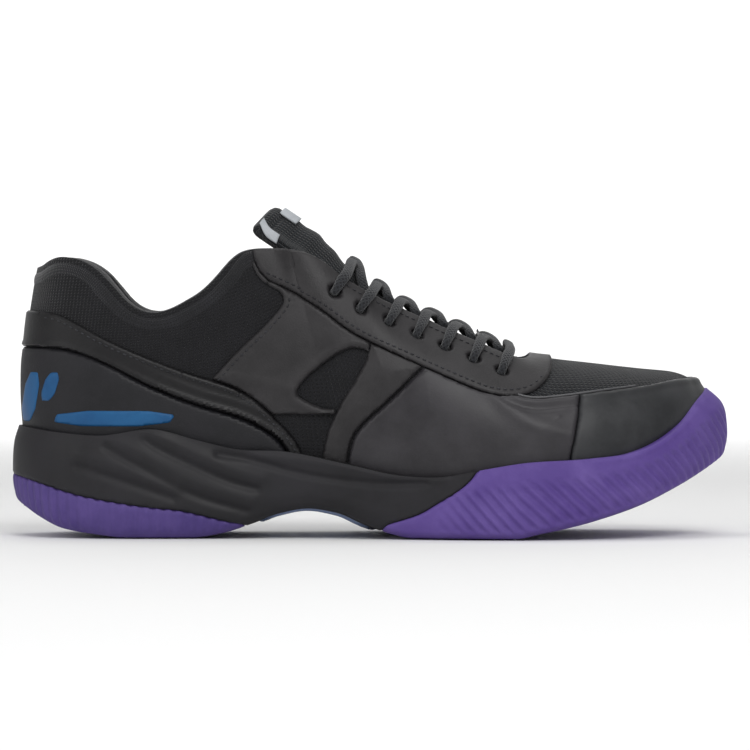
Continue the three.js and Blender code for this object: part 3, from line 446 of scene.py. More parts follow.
def last_pairs(sign, s, t):
    """Points and outward normals of the last at pairs of s and t."""
    s, t = np.broadcast_arrays(s, t)
    step = 2e-3
    along = last_at(sign, s + step, t) - last_at(sign, s - step, t)
    up = last_at(sign, s, np.minimum(t + step, 1)) - last_at(sign, s, np.maximum(t - step, 0))
    normal = np.cross(along, up) * (-sign)
    heel_or_toe = np.stack([up[..., 2], 0 * s, -up[..., 0]], -1) * np.where(s == 0, -1, 1)[..., None]
    instep_ridge = np.stack([-along[..., 2], 0 * s, along[..., 0]], -1)
    normal = np.where(((s == 0) | (s == 1))[..., None], heel_or_toe, normal)
    normal = np.where(((t == 1) & (s >= ANKLE_FRONT))[..., None], instep_ridge, normal)
    return last_at(sign, s, t), unit(normal)


def last_grid(sign, s, t):
    """Points and outward normals over a grid of the last, s down the rows and t along them."""
    return last_pairs(sign, s[:, None], t[None, :])


# ------------------------------------------------------------------ side-view outlines and regions
def softened(points, closed, times=3):
    """Cut the corners of an outline, keeping an open line's ends."""
    line = [np.array(p, float) for p in points]
    for _ in range(times):
        pairs = list(zip(line, line[1:] + line[:1])) if closed else list(zip(line, line[1:]))
        cut = [q for a, b in pairs for q in (a * 0.75 + b * 0.25, a * 0.25 + b * 0.75)]
        line = cut if closed else [line[0], *cut, line[-1]]
    return np.array(line)


def distance_to(points, closed=False, times=3):
    """Distance in side view from points to a softened line."""
    line = softened(side(points), closed, times)
    return charted(straight_distance(line, closed))


def straight_distance(line, closed):
    """A measure of the distance in side view to a line of straight pieces."""
    a = line if closed else line[:-1]
    b = np.roll(line, -1, axis=0) if closed else line[1:]

    def measure(p):
        q = p[..., [0, 2]]
        best = np.full(q.shape[:-1], 1e9)
        for start, end in zip(a, b):
            along = end - start
            f = np.clip(((q - start) @ along) / max(along @ along, 1e-9), 0, 1)
            best = np.minimum(best, np.linalg.norm(q - start - f[..., None] * along, axis=-1))
        return best

    return measure


def charted(measure):
    """The same measure of a side-view place, looked up from a chart drawn once, a millimetre to a square."""
    low = np.array([-176, -16]) * (grade_x, grade_z)
    size = np.ceil(np.array([352, 184]) * (grade_x, grade_z)).astype(int)
    x, z = np.meshgrid(*[low[k] + np.arange(size[k]) for k in (0, 1)], indexing="ij")
    chart = measure(np.stack([x, 0 * x, z], -1))

    def looked_up(p):
        at = np.clip(p[..., [0, 2]] - low, 0, size - 1.001)
        i, j = np.moveaxis(at.astype(int), -1, 0)
        f, g = np.moveaxis(at - at.astype(int), -1, 0)
        near = chart[i, j] * (1 - g) + chart[i, j + 1] * g
        return near * (1 - f) + (chart[i + 1, j] * (1 - g) + chart[i + 1, j + 1] * g) * f

    return looked_up


def inside(points, times=3):
    """Positive inside a closed side-view outline: the distance in from its edge."""
    line = softened(side(points), True, times)
    measure = straight_distance(line, True)

    def signed(p):
        x, z = p[..., 0], p[..., 2]
        crossed = np.zeros(x.shape, bool)
        for (x0, z0), (x1, z1) in zip(line, np.roll(line, -1, axis=0)):
            if z0 != z1:
                crossed ^= ((z0 > z) != (z1 > z)) & (x < (x1 - x0) * (z - z0) / (z1 - z0) + x0)
        return np.where(crossed, 1, -1) * measure(p)

    return charted(signed)


FAR = 400


def under(points, times=3):
    """Positive below a line that runs from heel to toe."""
    line = [tuple(p / (grade_x, grade_z)) for p in softened(side(points), False, times)]
    return inside([*line, (line[-1][0], -FAR), (line[0][0], -FAR)], 0)


def ahead(points, times=3):
    """Positive in front of a line that runs from top to bottom."""
    line = [tuple(p / (grade_x, grade_z)) for p in softened(side(points), False, times)]
    return inside([*line, (FAR, line[-1][1]), (FAR, line[0][1])], 0)


def both(*regions):
    """The ground that all the regions share."""
    return lambda p: np.minimum.reduce([region(p) for region in regions])


def outside(region, clear=0.0):
    """What lies outside a region, clear of its edge."""
    return lambda p: -region(p) - clear


def hole(centre, radius):
    """Positive outside a round hole."""
    return lambda p: np.linalg.norm(p - centre, axis=-1) - radius


# ------------------------------------------------------------------ the last seen from the side
class SideView:
    """Finds the point of the last, and its outward normal, under a place in side view or from above."""

    def __init__(self, sign):
        s, t = np.linspace(0, 1, 420), np.linspace(0, 1, 160)
        self.points, self.normals = last_grid(sign, s, t)
        self.flat = self.points.reshape(-1, 3)
        self.flat_normals = self.normals.reshape(-1, 3)

    def at(self, place, axes=(0, 2)):
        place = np.array(place, float)
        nearest = np.argmin(((self.flat[:, axes] - place) ** 2).sum(-1))
        p, n = self.flat[nearest], self.flat_normals[nearest]
        error = np.zeros(3)
        error[list(axes)] = place - p[list(axes)]
        third = ({0, 1, 2} - set(axes)).pop()
        if abs(n[third]) > 0.2:
            error[third] = -(error @ n) / n[third]
        return p + error, n


VIEW = {sign: SideView(sign) for sign in BOTH}


# ------------------------------------------------------------------ making pieces
def finish_piece(bm, name, material, body, replaces=(), sharp=50.0, thickness=0.0):
    """Make a piece from a bmesh in millimetres, and say what it rides on, is painted as and replaces."""
    for vert in bm.verts:
        vert.co *= MM
    mesh = bpy.data.meshes.new(name)
    bm.to_mesh(mesh)
    bm.free()
    mesh.shade_smooth()
    mesh.set_sharp_from_angle(angle=math.radians(sharp))
    piece = bpy.data.objects.new(name, mesh)
    bpy.context.collection.objects.link(piece)
    piece.data.materials.append(material)
    if thickness:
        wall = piece.modifiers.new("wall", "SOLIDIFY")
        wall.thickness = thickness * MM
        wall.offset = -1
    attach(piece, body)
    if replaces:
        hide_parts(*replaces)
    return piece


def grid_into(bm, points, uv, keep=None, snapped=None, flip=False):
    """Map a grid of points into a bmesh, keeping the quads whose middle is kept, borders snapped."""
    rows, columns = points.shape[:2]
    made = bmesh.ops.create_grid(bm, x_segments=rows - 1, y_segments=columns - 1, size=1)["verts"]
    layer = bm.loops.layers.uv.get("cloth") or bm.loops.layers.uv.new("cloth")
    place = {}
    for vert in made:
        i = round((vert.co.x + 1) / 2 * (rows - 1))
        j = round((vert.co.y + 1) / 2 * (columns - 1))
        place[vert] = (i, j)
    faces = {face for vert in made for face in vert.link_faces}
    gone = []
    for face in faces:
        corners = [place[v] for v in face.verts]
        for loop in face.loops:
            loop[layer].uv = uv[place[loop.vert]]
        if keep is not None and sum(keep[c] for c in corners) <= 0:
            gone.append(face)
    for vert in made:
        vert.co = points[place[vert]]
    if gone:
        bmesh.ops.delete(bm, geom=gone, context="FACES")
    left = [vert for vert in made if vert.is_valid and vert.link_faces]
    if snapped is not None:
        for vert in left:
            if vert.is_boundary and snapped[1][place[vert]]:
                vert.co = snapped[0][place[vert]]
    if flip:
        bmesh.ops.reverse_faces(bm, faces=list({f for v in left for f in v.link_faces}))
    return left


def closed_up(bm, distance):
    """Merge a shell's doubled points and turn its faces outwards."""
    bmesh.ops.remove_doubles(bm, verts=bm.verts, dist=distance)
    bmesh.ops.recalc_face_normals(bm, faces=bm.faces)


def arc(points, axis):
    """Length along one axis of a grid, measured at the other's middle."""
    return lengths_along(points[:, points.shape[1] // 2] if axis == 0 else points[points.shape[0] // 2])


def trim(points, normals, region, spacing):
    """The region's value, its distance in from the edge, and the points moved onto the edge."""
    value = region(points)
    gradient = np.stack([
        (region(points + e) - region(points - e)) / 0.2 for e in np.eye(3) * 0.1
    ], -1)
    gradient -= (gradient * normals).sum(-1, keepdims=True) * normals
    size = np.maximum((gradient**2).sum(-1), 1e-6)
    depth = value / np.sqrt(size)
    onto = points - gradient * (value / size)[..., None]
    near = (np.abs(depth) < 1.1 * spacing) & (size > 0.04)
    return value, depth, onto, near


def span_of(sign, region):
    """The range of s and of t that a region covers, with a little round it."""
    s, t = np.linspace(0, 1, 150), np.linspace(0, 1, 60)
    points, _ = last_grid(sign, s, t)
    found = np.argwhere(region(points) > -1.0)
    low = np.maximum(found.min(0) - 1, 0)
    high = np.minimum(found.max(0) + 1, (len(s) - 1, len(t) - 1))
    return s[low[0]], s[high[0]], t[low[1]], t[high[1]]


def sheet(name, region, height, material, replaces=(), sides=BOTH, spacing=1.1, thickness=1.0):
    """A trimmed layer of the last; height(points, depth) is its rise above the last."""
    bm = bmesh.new()
    spans = np.array([span_of(sign, region) for sign in sides])
    (s0, _, t0, _), (_, s1, _, t1) = spans.min(0), spans.max(0)
    coarse, _ = last_grid(sides[0], np.linspace(s0, s1, 40), np.linspace(t0, t1, 40))
    rows = max(4, round(arc(coarse, 0)[-1] / spacing))
    columns = max(4, round(arc(coarse, 1)[-1] / spacing))
    for sign in sides:
        points, normals = last_grid(sign, np.linspace(s0, s1, rows), np.linspace(t0, t1, columns))
        value, depth, onto, near = trim(points, normals, region, spacing)
        uv = np.stack(np.meshgrid(arc(points, 0), arc(points, 1), indexing="ij"), -1)
        raised = points + normals * height(points, np.maximum(depth, 0))[..., None]
        edge = onto + normals * height(onto, np.zeros_like(depth))[..., None]
        grid_into(bm, raised, uv, value, (edge, near), sign > 0)
    bmesh.ops.remove_doubles(bm, verts=bm.verts, dist=0.03)
    finish_piece(bm, name, material, "shoe", replaces, thickness=thickness)


def rolled(rise, edge, start=0.5):
    """A flat top with a rounded edge."""
    def height(points, depth):
        f = np.clip(depth / edge, 0, 1)
        return rise * (start + (1 - start) * np.sqrt(1 - (1 - f) ** 2))
    return height


def flush(points, depth):
    """A layer that lies on the last itself."""
    return 0 * depth


# ------------------------------------------------------------------ pattern lines of the upper
COLLAR = [
    (-160, 109), (-137, 109), (-131, 113.6), (-124.4, 114.6), (-114, 111.4), (-105.8, 103.3), (-99.6, 95.9),
    (-93.4, 92), (-87.2, 91.2), (-81, 93), (-74.8, 96.3), (-68.6, 100), (-62.4, 106.2), (-56, 114),
    (-50, 117.4), (-36, 117.6), (-26.9, 116.2), (-18.6, 111.4),
]
THROAT = [(-14, 107), (0, 98), (20, 88.5), (40, 80), (58, 72)]
OPENING = [*COLLAR, *THROAT, (63, 71.5), (66, 74), (72, 96), (84, 135), (160, 140)]
BAND_TOP = [
    (-160, 92.5), (-131, 92), (-122.4, 88.5), (-107.9, 80.2), (-91.4, 73.2), (-74.8, 67), (-62.4, 63.7),
    (-50, 58.5), (-38, 48), (-28, 37), (-24, 20),
]
BAND_BOTTOM = [
    (-160, 77.5), (-131.9, 77), (-122.4, 76.1), (-107.9, 70.7), (-91.4, 61.6), (-70.7, 53.3),
    (-54.2, 49.2), (-41.8, 43), (-34, 36), (-31, 20),
]
QUARTER_SEAM = [(-49, 130), (-49, 106), (-33, 98.5), (-41, 88), (-54.2, 76.1), (-66, 63), (-80, 50)]
STRAP_REAR = [(0, 96), (-1, 88), (0.4, 76), (-6, 64), (-13, 53.3), (-19, 40), (-22, 10)]
STRAP_FRONT = [
    (50, 92), (40, 83.5), (28.5, 75.2), (18.2, 65.7), (7.9, 55.4), (-2.5, 46.5), (-8.5, 38), (-11, 10),
]
GUARD_RIM = [
    (-40, 96), (38, 95), (43, 82), (47.1, 74), (50, 64), (57.5, 57.8), (66, 55.6), (78.1, 56.6), (94.7, 58.7),
    (111.2, 60.4), (127.7, 63.5), (160, 64.5),
]
TOE_SEAM = [(86, 80), (84.7, 51.3), (83.1, 44.2), (80.2, 30.6), (79, 10)]
VAMP_SEAM = [(74, 120), (58, 68), (34, 50), (14, 10)]
WINDOW = [(-10.5, 77.5), (-2, 76.5), (6, 72), (-4, 58), (-14, 51.5), (-24, 54), (-33, 59.8)]
EYESTAY_BOTTOM = [
    (-49, 108), (-30, 99), (-19, 92), (-8, 83), (12, 73.5), (32, 64.5), (50, 57), (64, 57.5), (72, 63),
    (75, 70), (76, 125),
]
RISE, SEAM, STRAP_SEAM = 1.5, 0.25, 0.8

covered = under(OPENING)
band_top, band_bottom = under(BAND_TOP), under(BAND_BOTTOM)
eyestay_area = inside([*EYESTAY_BOTTOM, (-49, 140)], 2)
strap_front, strap_rear = ahead(STRAP_FRONT), ahead(STRAP_REAR)
guard_rim, toe_seam, vamp_seam = under(GUARD_RIM), ahead(TOE_SEAM), ahead(VAMP_SEAM)
quarter_front, window = ahead(QUARTER_SEAM), inside(WINDOW, 2)

band_zone = both(band_top, outside(band_bottom, SEAM), covered)
stay_zone = both(covered, eyestay_area)
panel_zone = both(
    covered, outside(band_top, SEAM), quarter_front, outside(strap_rear, SEAM), outside(window),
    outside(eyestay_area, SEAM),
)
strap_zone = both(covered, strap_rear, outside(strap_front, STRAP_SEAM), outside(eyestay_area, SEAM))
guard_zone = both(covered, strap_front, guard_rim, outside(toe_seam, SEAM), outside(eyestay_area, SEAM))

# ------------------------------------------------------------------ base fabric and overlays
throat_line = np.array(side(THROAT))
EYELET_PAIRS, EYELET_IN, EYELET_R = 7, 6.5, 2.5
EYELET_START, EYELET_END = 0.04, 0.97


def beside(line, distance):
    """A line moved square to itself, to the right as it runs."""
    d = unit(np.gradient(line, axis=0))
    return line + np.stack([d[:, 1], -d[:, 0]], -1) * distance


def along_line(line, share):
    """The point at a share of a line's length."""
    total = lengths_along(line)
    return np.array([np.interp(share * total[-1], total, line[:, c]) for c in (0, 1)])


def eyelet_share(k):
    """How far down the throat an eyelet is, counted from the bottom pair."""
    return EYELET_END - (EYELET_END - EYELET_START) * k / (EYELET_PAIRS - 1)


eyelet_row = beside(throat_line, EYELET_IN)
eyelets = {
    sign: [VIEW[sign].at(along_line(eyelet_row, eyelet_share(k))) for k in range(EYELET_PAIRS)]
    for sign in BOTH
}
punched = both(*[hole(p, EYELET_R) for sign in BOTH for p, _ in eyelets[sign]])

sheet(
    "quarters", both(covered, outside(vamp_seam, SEAM)), flush, MESH,
    ("quarter_lateral", "quarter_medial"), spacing=1.5, thickness=1.2,
)
sheet(
    "vamp_mesh", both(covered, vamp_seam), flush, VAMP_MESH, ("vamp",), spacing=1.5,
    thickness=1.2,
)

band_line = distance_to(BAND_BOTTOM)
window_edge = distance_to(WINDOW, True, 2)
lower_fold = distance_to([(-66, 66), (-48, 64), (-33, 60)])
guard_crease = distance_to([(41, 76), (45, 66), (54, 54), (66, 45), (82, 41)])
guard_inner = distance_to(GUARD_RIM)
stay_height = rolled(RISE, 0.9)


def band_height(p, d):
    """A flat band with a piped lower edge, whose ribs come up towards its front end."""
    front = smooth(p[..., 0], -105 * grade_x, -62 * grade_x)
    ribs = 0.75 * wave(band_line(p), 4.0) * front * smooth(d, 0, 1.5)
    return rolled(RISE, 1.0)(p, d) + ribs + 0.5 * bead(band_line(p) - 1.3, 1.0)


def heel_panel_height(p, d):
    return rolled(RISE, 1.0)(p, d) + 0.3 * smooth(d, 0, 7)


def side_panel_height(p, d):
    """A slightly domed panel, with a raised frame round the window and a soft fold below it."""
    raised_lines = 0.9 * bead(window_edge(p) - 2.0, 1.5) + 0.5 * bead(lower_fold(p), 2.4)
    return rolled(RISE, 1.0)(p, d) + 0.35 * smooth(d, 0, 9) + raised_lines


def strap_height(p, d):
    return stay_height(p, d) + 1.3 * smooth(d, 0, 8)


def guard_height(p, d):
    """A domed film with a piped rim, a groove inside the piping and a crease where the forefoot bends."""
    rim_line = 0.8 * bead(guard_inner(p) - 1.4, 1.1) - 0.5 * bead(guard_inner(p) - 4.2, 1.0)
    return rolled(RISE, 1.0)(p, d) + 0.7 * smooth(d, 0, 16) + rim_line + 0.8 * bead(guard_crease(p), 3.5)


def toe_height(p, d):
    return rolled(RISE, 1.0)(p, d) + 0.3 * smooth(d, 0, 8) + 0.7 * bead(guard_inner(p) - 1.4, 1.1)


sheet("heel_band_piece", band_zone, band_height, BAND, ("heel_band",), spacing=0.8)
sheet(
    "heel_panel_piece", both(band_bottom, outside(ahead([(-26, FAR), (-26, -FAR)], 0))), heel_panel_height,
    HEEL_LEATHER, ("heel_panel",), spacing=1.2,
)
OVERLAYS = [
    ("side_panel", panel_zone, side_panel_height, LEATHER, "black_leather", 0.9),
    ("eyestay", both(stay_zone, punched), stay_height, LEATHER, "black_leather", 0.75),
    ("midfoot_strap", strap_zone, strap_height, LEATHER, "gloss_film", 0.9),
    ("forefoot_guard", guard_zone, guard_height, FILM, "gloss_film", 0.9),
]
for overlay, region, height, material, slot, spacing in OVERLAYS:
    for side_name, sign in (("lateral", LATERAL), ("medial", MEDIAL)):
        sheet(
            f"{overlay}_{side_name}_piece", region, height, material, (f"{overlay}_{side_name}",),
            sides=(sign,), spacing=spacing,
        )
sheet("toe_cap_piece", both(guard_rim, toe_seam), toe_height, TOE_FILM, ("toe_cap",), spacing=1.0)


def piping(name, line, height, radius, material):
    """A thin cord let into a seam, along a side-view line."""
    bm = bmesh.new()
    turn = np.linspace(0, math.tau, 9)[None, :, None]
    for sign in BOTH:
        route = softened(side(line), False, 2)
        total = lengths_along(route)[-1]
        places = [along_line(route, share) for share in np.linspace(0, 1, round(total / 1.2))]
        found = np.array([[*point, *normal] for point, normal in (VIEW[sign].at(place) for place in places)])
        axis = found[:, :3] + found[:, 3:] * height
        along = np.gradient(axis, axis=0)
        across = unit(np.cross(along, found[:, 3:]))
        ring = axis[:, None] + radius * (across[:, None] * np.cos(turn) + found[:, None, 3:] * np.sin(turn))
        grid_into(bm, ring, ring[..., :2])
    closed_up(bm, 0.01)
    finish_piece(bm, name, material, "shoe", (), 80)


# The guard's piping: its light colour is a painted highlight along the rim, on a real raised cord.
piping("guard_piping", [
    (43.6, 83.5), (45.2, 79), (47.6, 74), (50.5, 64.5), (57.8, 58.3), (66, 56.2), (78, 57.2), (94, 59.2),
    (108, 60.8),
], 0.75, 0.55, PIPING_PAINTED_HIGHLIGHT)

# ------------------------------------------------------------------ what the upper hides
STIFFENER_DEPTH = -1.9
LINING_UNDER, COLLAR_FILL = -3.1, -8.6
inner_cut = both(covered, lambda p: covered(p) - 3.5 * smooth(p[..., 0], -24, -12))
lining_end = ahead([(114, 90), (112, 10)])
collar_height = through(side(COLLAR), limited=True)


def padding_under(p):
    """The level of the padding's inner face: deep round the collar, shallow below it and in front."""
    drop = collar_height(np.maximum(p[..., 0], -124.4 * grade_x)) - p[..., 2]
    down = 1 - smooth(drop, 9 * grade_z, 36 * grade_z)
    forward = 1 - smooth(p[..., 0], -70 * grade_x, -48 * grade_x)
    return LINING_UNDER + COLLAR_FILL * down * forward


def stiff_height(p, d):
    return STIFFENER_DEPTH + 0 * d


sheet(
    "lining_piece", both(inner_cut, outside(lining_end)), lambda p, d: padding_under(p) - 0.4, LINING,
    ("lining",), spacing=1.8, thickness=0.7,
)
sheet(
    "heel_counter_piece",
    under([(-160, 74), (-125, 73), (-100, 62), (-80, 48), (-66, 34), (-60, 10)]), stiff_height, STIFF,
    ("heel_counter",), spacing=3, thickness=1.0,
)
sheet(
    "toe_puff_piece",
    both(ahead([(112, 90), (104, 62), (98, 48), (92, 34), (88, 10)]), under([(60, 62), (160, 62)])),
    stiff_height, STIFF, ("toe_puff",), spacing=3, thickness=0.7,
)
sheet(
    "interlining_piece",
    both(outside(under([(-160, 76), (-125, 75), (-100, 64), (-80, 50), (-66, 36), (-60, 10)])),
         outside(ahead([(110, 90), (102, 62), (96, 48), (90, 34), (86, 10)])),
         under([(-60, 60), (-46, 80), (-30, 78), (0, 66), (40, 50), (60, 44), (90, 42)])),
    stiff_height, PADDING, ("interlining",), spacing=3, thickness=1.0,
)

# ------------------------------------------------------------------ sole
HEEL_RUBBER = [
    (-160, 27), (-147.6, 25), (-136, 22), (-124, 18.2), (-113, 15.7), (-90, 12), (-78, 11.2), (-67, 8.4),
    (-56, 5.6), (-50, 4.6), (-49, -8),
]
FORE_RUBBER = [
    (3, -8), (4, 4.5), (12, 7), (20.3, 9.9), (26, 13.6), (37.6, 20.7), (43.4, 27.3), (47, 38), (110, 50),
    (160, 82),
]
wall_section = through([
    (0, BEVEL, 0, 0), (0.1, 2, 0, 0.07), (0.22, 0.6, 0, 0.2), (0.5, 0, 0, 0.5), (0.8, 0, 0.3, 0.82),
    (1, 0, 1, 1),
])


def wall_at(sign, s, v, moved_in=0.0):
    """A point on the sole's wall, from the underside's edge (v = 0) to the rim (v = 1)."""
    s, v = np.broadcast_arrays(np.asarray(s, float), np.asarray(v, float))
    station, _, _ = plan_at(-sign * s)
    inset, leaning, share = np.moveaxis(wall_section(v), -1, 0)
    _, at, _ = plan_at(-sign * s, inset + leaning * rim_lean(station) + moved_in)
    return np.stack([at[..., 0], at[..., 1], ground(station) * (1 - share) + rim(station) * share], -1)


SOLE_ROWS, WALL_STEPS, TREAD_STEPS, FLANGE = 400, 40, 84, 5.0
SOLE_JOINT, SOLE_WALL = 0.45, 0.8
sole_s = np.linspace(0, 1, SOLE_ROWS)[:, None]
wall_v = np.linspace(1, 0, WALL_STEPS)[None, :]
left_wall = wall_at(LATERAL, sole_s, wall_v)
right_wall = wall_at(MEDIAL, sole_s, wall_v[:, ::-1])
across = np.linspace(0, 1, TREAD_STEPS)[1:-1][None, :, None]
tread = left_wall[:, -1:] * (1 - across) + right_wall[:, :1] * across
sole_points = np.concatenate([
    wall_at(LATERAL, sole_s, 1, FLANGE), left_wall, tread, right_wall, wall_at(MEDIAL, sole_s, 1, FLANGE),
], 1)
sole_v = np.concatenate([[1], wall_v[0], np.zeros(TREAD_STEPS - 2), wall_v[0, ::-1], [1]])[None, :]
sole_v = sole_v + 0 * sole_s
on_tread = np.repeat([False, True, False], [WALL_STEPS, TREAD_STEPS, WALL_STEPS])[None, :]
sole_normals = -np.cross(np.gradient(sole_points, axis=0), np.gradient(sole_points, axis=1))
sole_normals[:, on_tread[0]] = (0, 0, -1)
sole_normals = unit(sole_normals)
sole_normals[0, ~on_tread[0]] = (-1, 0, 0)
sole_normals[-1, ~on_tread[0]] = (1, 0, 0)
sole_along = lengths_along(left_wall[:, WALL_STEPS // 2])[:, None]
sole_x, sole_y, sole_z = np.moveaxis(sole_points, -1, 0)
wall_height = sole_z - ground(sole_x)
end_fade = smooth(np.minimum(sole_s, 1 - sole_s), 0.004, 0.02)

# The tread: a herringbone, with rings under the ball of the foot to turn on.
TREAD_PITCH, HERRINGBONE_WIDTH, TREAD_DEPTH = 5.2, 26, 1.6
PIVOT, PIVOT_RADIUS, RING_PITCH = (62, 4), 24, 5.0
away = np.abs((sole_y / grade_y + 400) % HERRINGBONE_WIDTH - HERRINGBONE_WIDTH / 2)
herringbone = smooth(wave(sole_x / grade_x + 0.75 * away, TREAD_PITCH), 0.52, 0.8)
pivot = np.hypot(sole_x / grade_x - PIVOT[0], sole_y / grade_y - PIVOT[1])
rings = smooth(wave(pivot, RING_PITCH), 0.5, 0.8) * smooth(pivot, 1.5, 3)
pattern = np.where(pivot < PIVOT_RADIUS, rings, herringbone) * (1 - bead(pivot - PIVOT_RADIUS, 0.7))
edge_distances = [
    np.linalg.norm(sole_points - edge, axis=-1) for edge in (left_wall[:, -1:], right_wall[:, :1])
]
tread_edge = smooth(np.minimum(*edge_distances), 3, 5)
tread_relief = np.where(on_tread, -TREAD_DEPTH * pattern * tread_edge, 0)

# The walls: slanting teeth at the forefoot, upright ribs at the heel.
teeth = smooth(wave(sole_along + 0.9 * wall_height, 5.2), 0.15, 0.85)
tooth_band = smooth(wall_height, 1.5, 4) * (1 - smooth(sole_v, 0.6, 0.78))
tooth_band = tooth_band * smooth(sole_x, 22 * grade_x, 44 * grade_x)
rim_bead = 0.5 * bead(sole_v - 0.93, 0.05) * smooth(sole_x, 84, 100)
fore_relief = end_fade * np.where(on_tread, 0, rim_bead - 1.15 * teeth * tooth_band)
heel_relief = end_fade * np.where(on_tread, 0, -0.8 * wave(sole_along, 4.6) * smooth(wall_height, 1, 3))

MIDSOLE_GROOVES = [
    [(-108, 37), (-104, 34.3), (-87.6, 25.2), (-71, 16.5), (-50.4, 10.7)],
    [(-92, 40), (-87.6, 36.8), (-74, 30.2), (-57.5, 22.5), (-46.3, 19.8)],
    [(-120, 29), (-112, 26.7), (-95, 21), (-80, 16)],
    [(-62, 34), (-47.5, 31.8), (-33, 26.9), (-16, 23.8), (5, 21.7), (22, 22.6)],
]
MIDSOLE_RIDGES = [[(-45.9, 33.5), (-28.9, 31.8), (-10.3, 28.5), (13.2, 25.4), (30.2, 24.4)]]
midsole_relief = 0 * sole_x
for line in MIDSOLE_GROOVES:
    midsole_relief = midsole_relief - 1.3 * bead(distance_to(line)(sole_points), 1.5)
for line in MIDSOLE_RIDGES:
    midsole_relief = midsole_relief + 0.7 * bead(distance_to(line)(sole_points), 2.2)
for line in MIDSOLE_GROOVES[:3]:
    lifted = distance_to([(x + 1.5, z + 4.6) for x, z in line])(sole_points)
    midsole_relief = midsole_relief + 0.75 * bead(lifted, 2.6)
midsole_relief = midsole_relief * (1 - smooth(sole_v, 0.93, 1)) * smooth(sole_v, 0, 0.15) * ~on_tread


def sole_piece(name, region, relief, material, replaces):
    """A part of the sole's shell, trimmed in side view, with its moulded relief."""
    value, depth, onto, near = trim(sole_points, sole_normals, region, 1.0)
    joint = -SOLE_JOINT * (1 - smooth(depth, 0, 0.9))
    raised = sole_points + sole_normals * (relief + joint)[..., None]
    edge = onto + sole_normals * (relief - SOLE_JOINT)[..., None]
    uv = np.stack(np.broadcast_arrays(sole_along, np.arange(sole_points.shape[1])[None, :]), -1)
    bm = bmesh.new()
    grid_into(bm, raised, uv, value, (edge, near), True)
    bmesh.ops.remove_doubles(bm, verts=bm.verts, dist=0.05)
    finish_piece(bm, name, material, "shoe", replaces, 60, SOLE_WALL)


fore_rubber, heel_rubber = under(FORE_RUBBER), under(HEEL_RUBBER)
sole_piece(
    "forefoot_rubber", fore_rubber, fore_relief + tread_relief, PURPLE,
    ("outsole_forefoot",),
)
sole_piece(
    "heel_rubber", heel_rubber, heel_relief + tread_relief, HEEL_PURPLE, ("outsole_heel",),
)
sole_piece(
    "midsole_shell", both(outside(fore_rubber, 0.1), outside(heel_rubber, 0.1)), midsole_relief, FOAM,
    ("midsole",),
)

# The plate under the waist, ribbed along its length.
PLATE_STEPS = 60
table_s = np.linspace(0, 1, 1500)
plate_x = np.linspace(-45, 0, PLATE_STEPS) * grade_x
plate_sides = []
for sign in BOTH:
    stations = wall_at(sign, table_s, 0)[:, 0]
    plate_sides.append(wall_at(sign, np.interp(plate_x, stations, table_s), 0, 6 * grade_y))
end = np.abs(2 * np.linspace(0, 1, PLATE_STEPS) - 1)[:, None, None]
narrow = (1 - np.sqrt(1 - np.clip(end, 0, 0.995) ** 8)) * 0.5
f = narrow + (1 - 2 * narrow) * np.linspace(0, 1, PLATE_STEPS)[None, :, None]
plate = plate_sides[0][:, None] * (1 - f) + plate_sides[1][:, None] * f
ribs = 0.5 * wave(plate[..., 1] / grade_y, 4.2)
plate[..., 2] = ground(plate[..., 0]) - 1.1 - ribs * smooth(np.minimum(f, 1 - f)[..., 0], 0.04, 0.12)
bm = bmesh.new()
grid_into(bm, plate, plate[..., :2], flip=True)
finish_piece(bm, "shank_plate_piece", SHANK, "shoe", ("shank_plate",), 60, 2.0)

# ------------------------------------------------------------------ collar
ROLL_TOP, ROLL_GAP, ROLL_STEPS, ROLL_TUCK = 4.2, 0.4, 40, 7


def edge_of(sign, region, s):
    """Where a region's upper edge crosses each s on the last."""
    t = np.linspace(0.3, 1, 500)
    points, _ = last_grid(sign, s, t)
    value = region(points)
    found = []
    for row in value:
        k = np.flatnonzero((row[:-1] > 0) & (row[1:] <= 0))
        k = k[0] if len(k) else len(t) - 2
        found.append(t[k] + (t[k + 1] - t[k]) * np.clip(row[k] / max(row[k] - row[k + 1], 1e-9), 0, 1))
    return np.array(found)


def edge_frame(sign, s, region):
    """Points along a region's upper edge, with the last's normal and the way up the last."""
    t = edge_of(sign, region, s)
    points, normals = last_pairs(sign, s, t)
    up = unit(np.cross(np.gradient(points, axis=0), normals))
    up *= np.where(up[:, 2:] < 0, -1, 1)
    return points, normals, up


front_s = np.interp(-21 * grade_x, top_line(table_s)[:, 0], table_s)
half_path = np.linspace(0, front_s, 190)
frames = [edge_frame(sign, half_path, covered) for sign in BOTH]
path_points, path_normals, path_up = (
    np.concatenate([frames[0][k][::-1], frames[1][k][1:]]) for k in range(3)
)
inner_offset = padding_under(path_points) - 1.2
half_width = (-ROLL_GAP - inner_offset) / 2
lip = np.minimum(half_width, ROLL_TOP * grade_z)
turn = np.radians(np.linspace(-70, 250, ROLL_STEPS))[None, :, None]
centre = path_points - path_normals * (ROLL_GAP + half_width)[:, None] - path_up * lip[:, None]
roll = (
    centre[:, None] + path_normals[:, None] * (half_width[:, None, None] * np.cos(turn))
    + path_up[:, None] * np.where(np.sin(turn) > 0, lip[:, None, None], ROLL_TUCK) * np.sin(turn)
)
roll_around = np.linspace(0, 30, ROLL_STEPS)[None, :]
uv = np.stack(np.broadcast_arrays(lengths_along(path_points)[:, None], roll_around), -1)
bm = bmesh.new()
grid_into(bm, roll, uv)
collar_roll = finish_piece(bm, "collar_roll", LINING, "shoe", ("collar_padding",), 60, 0.8)

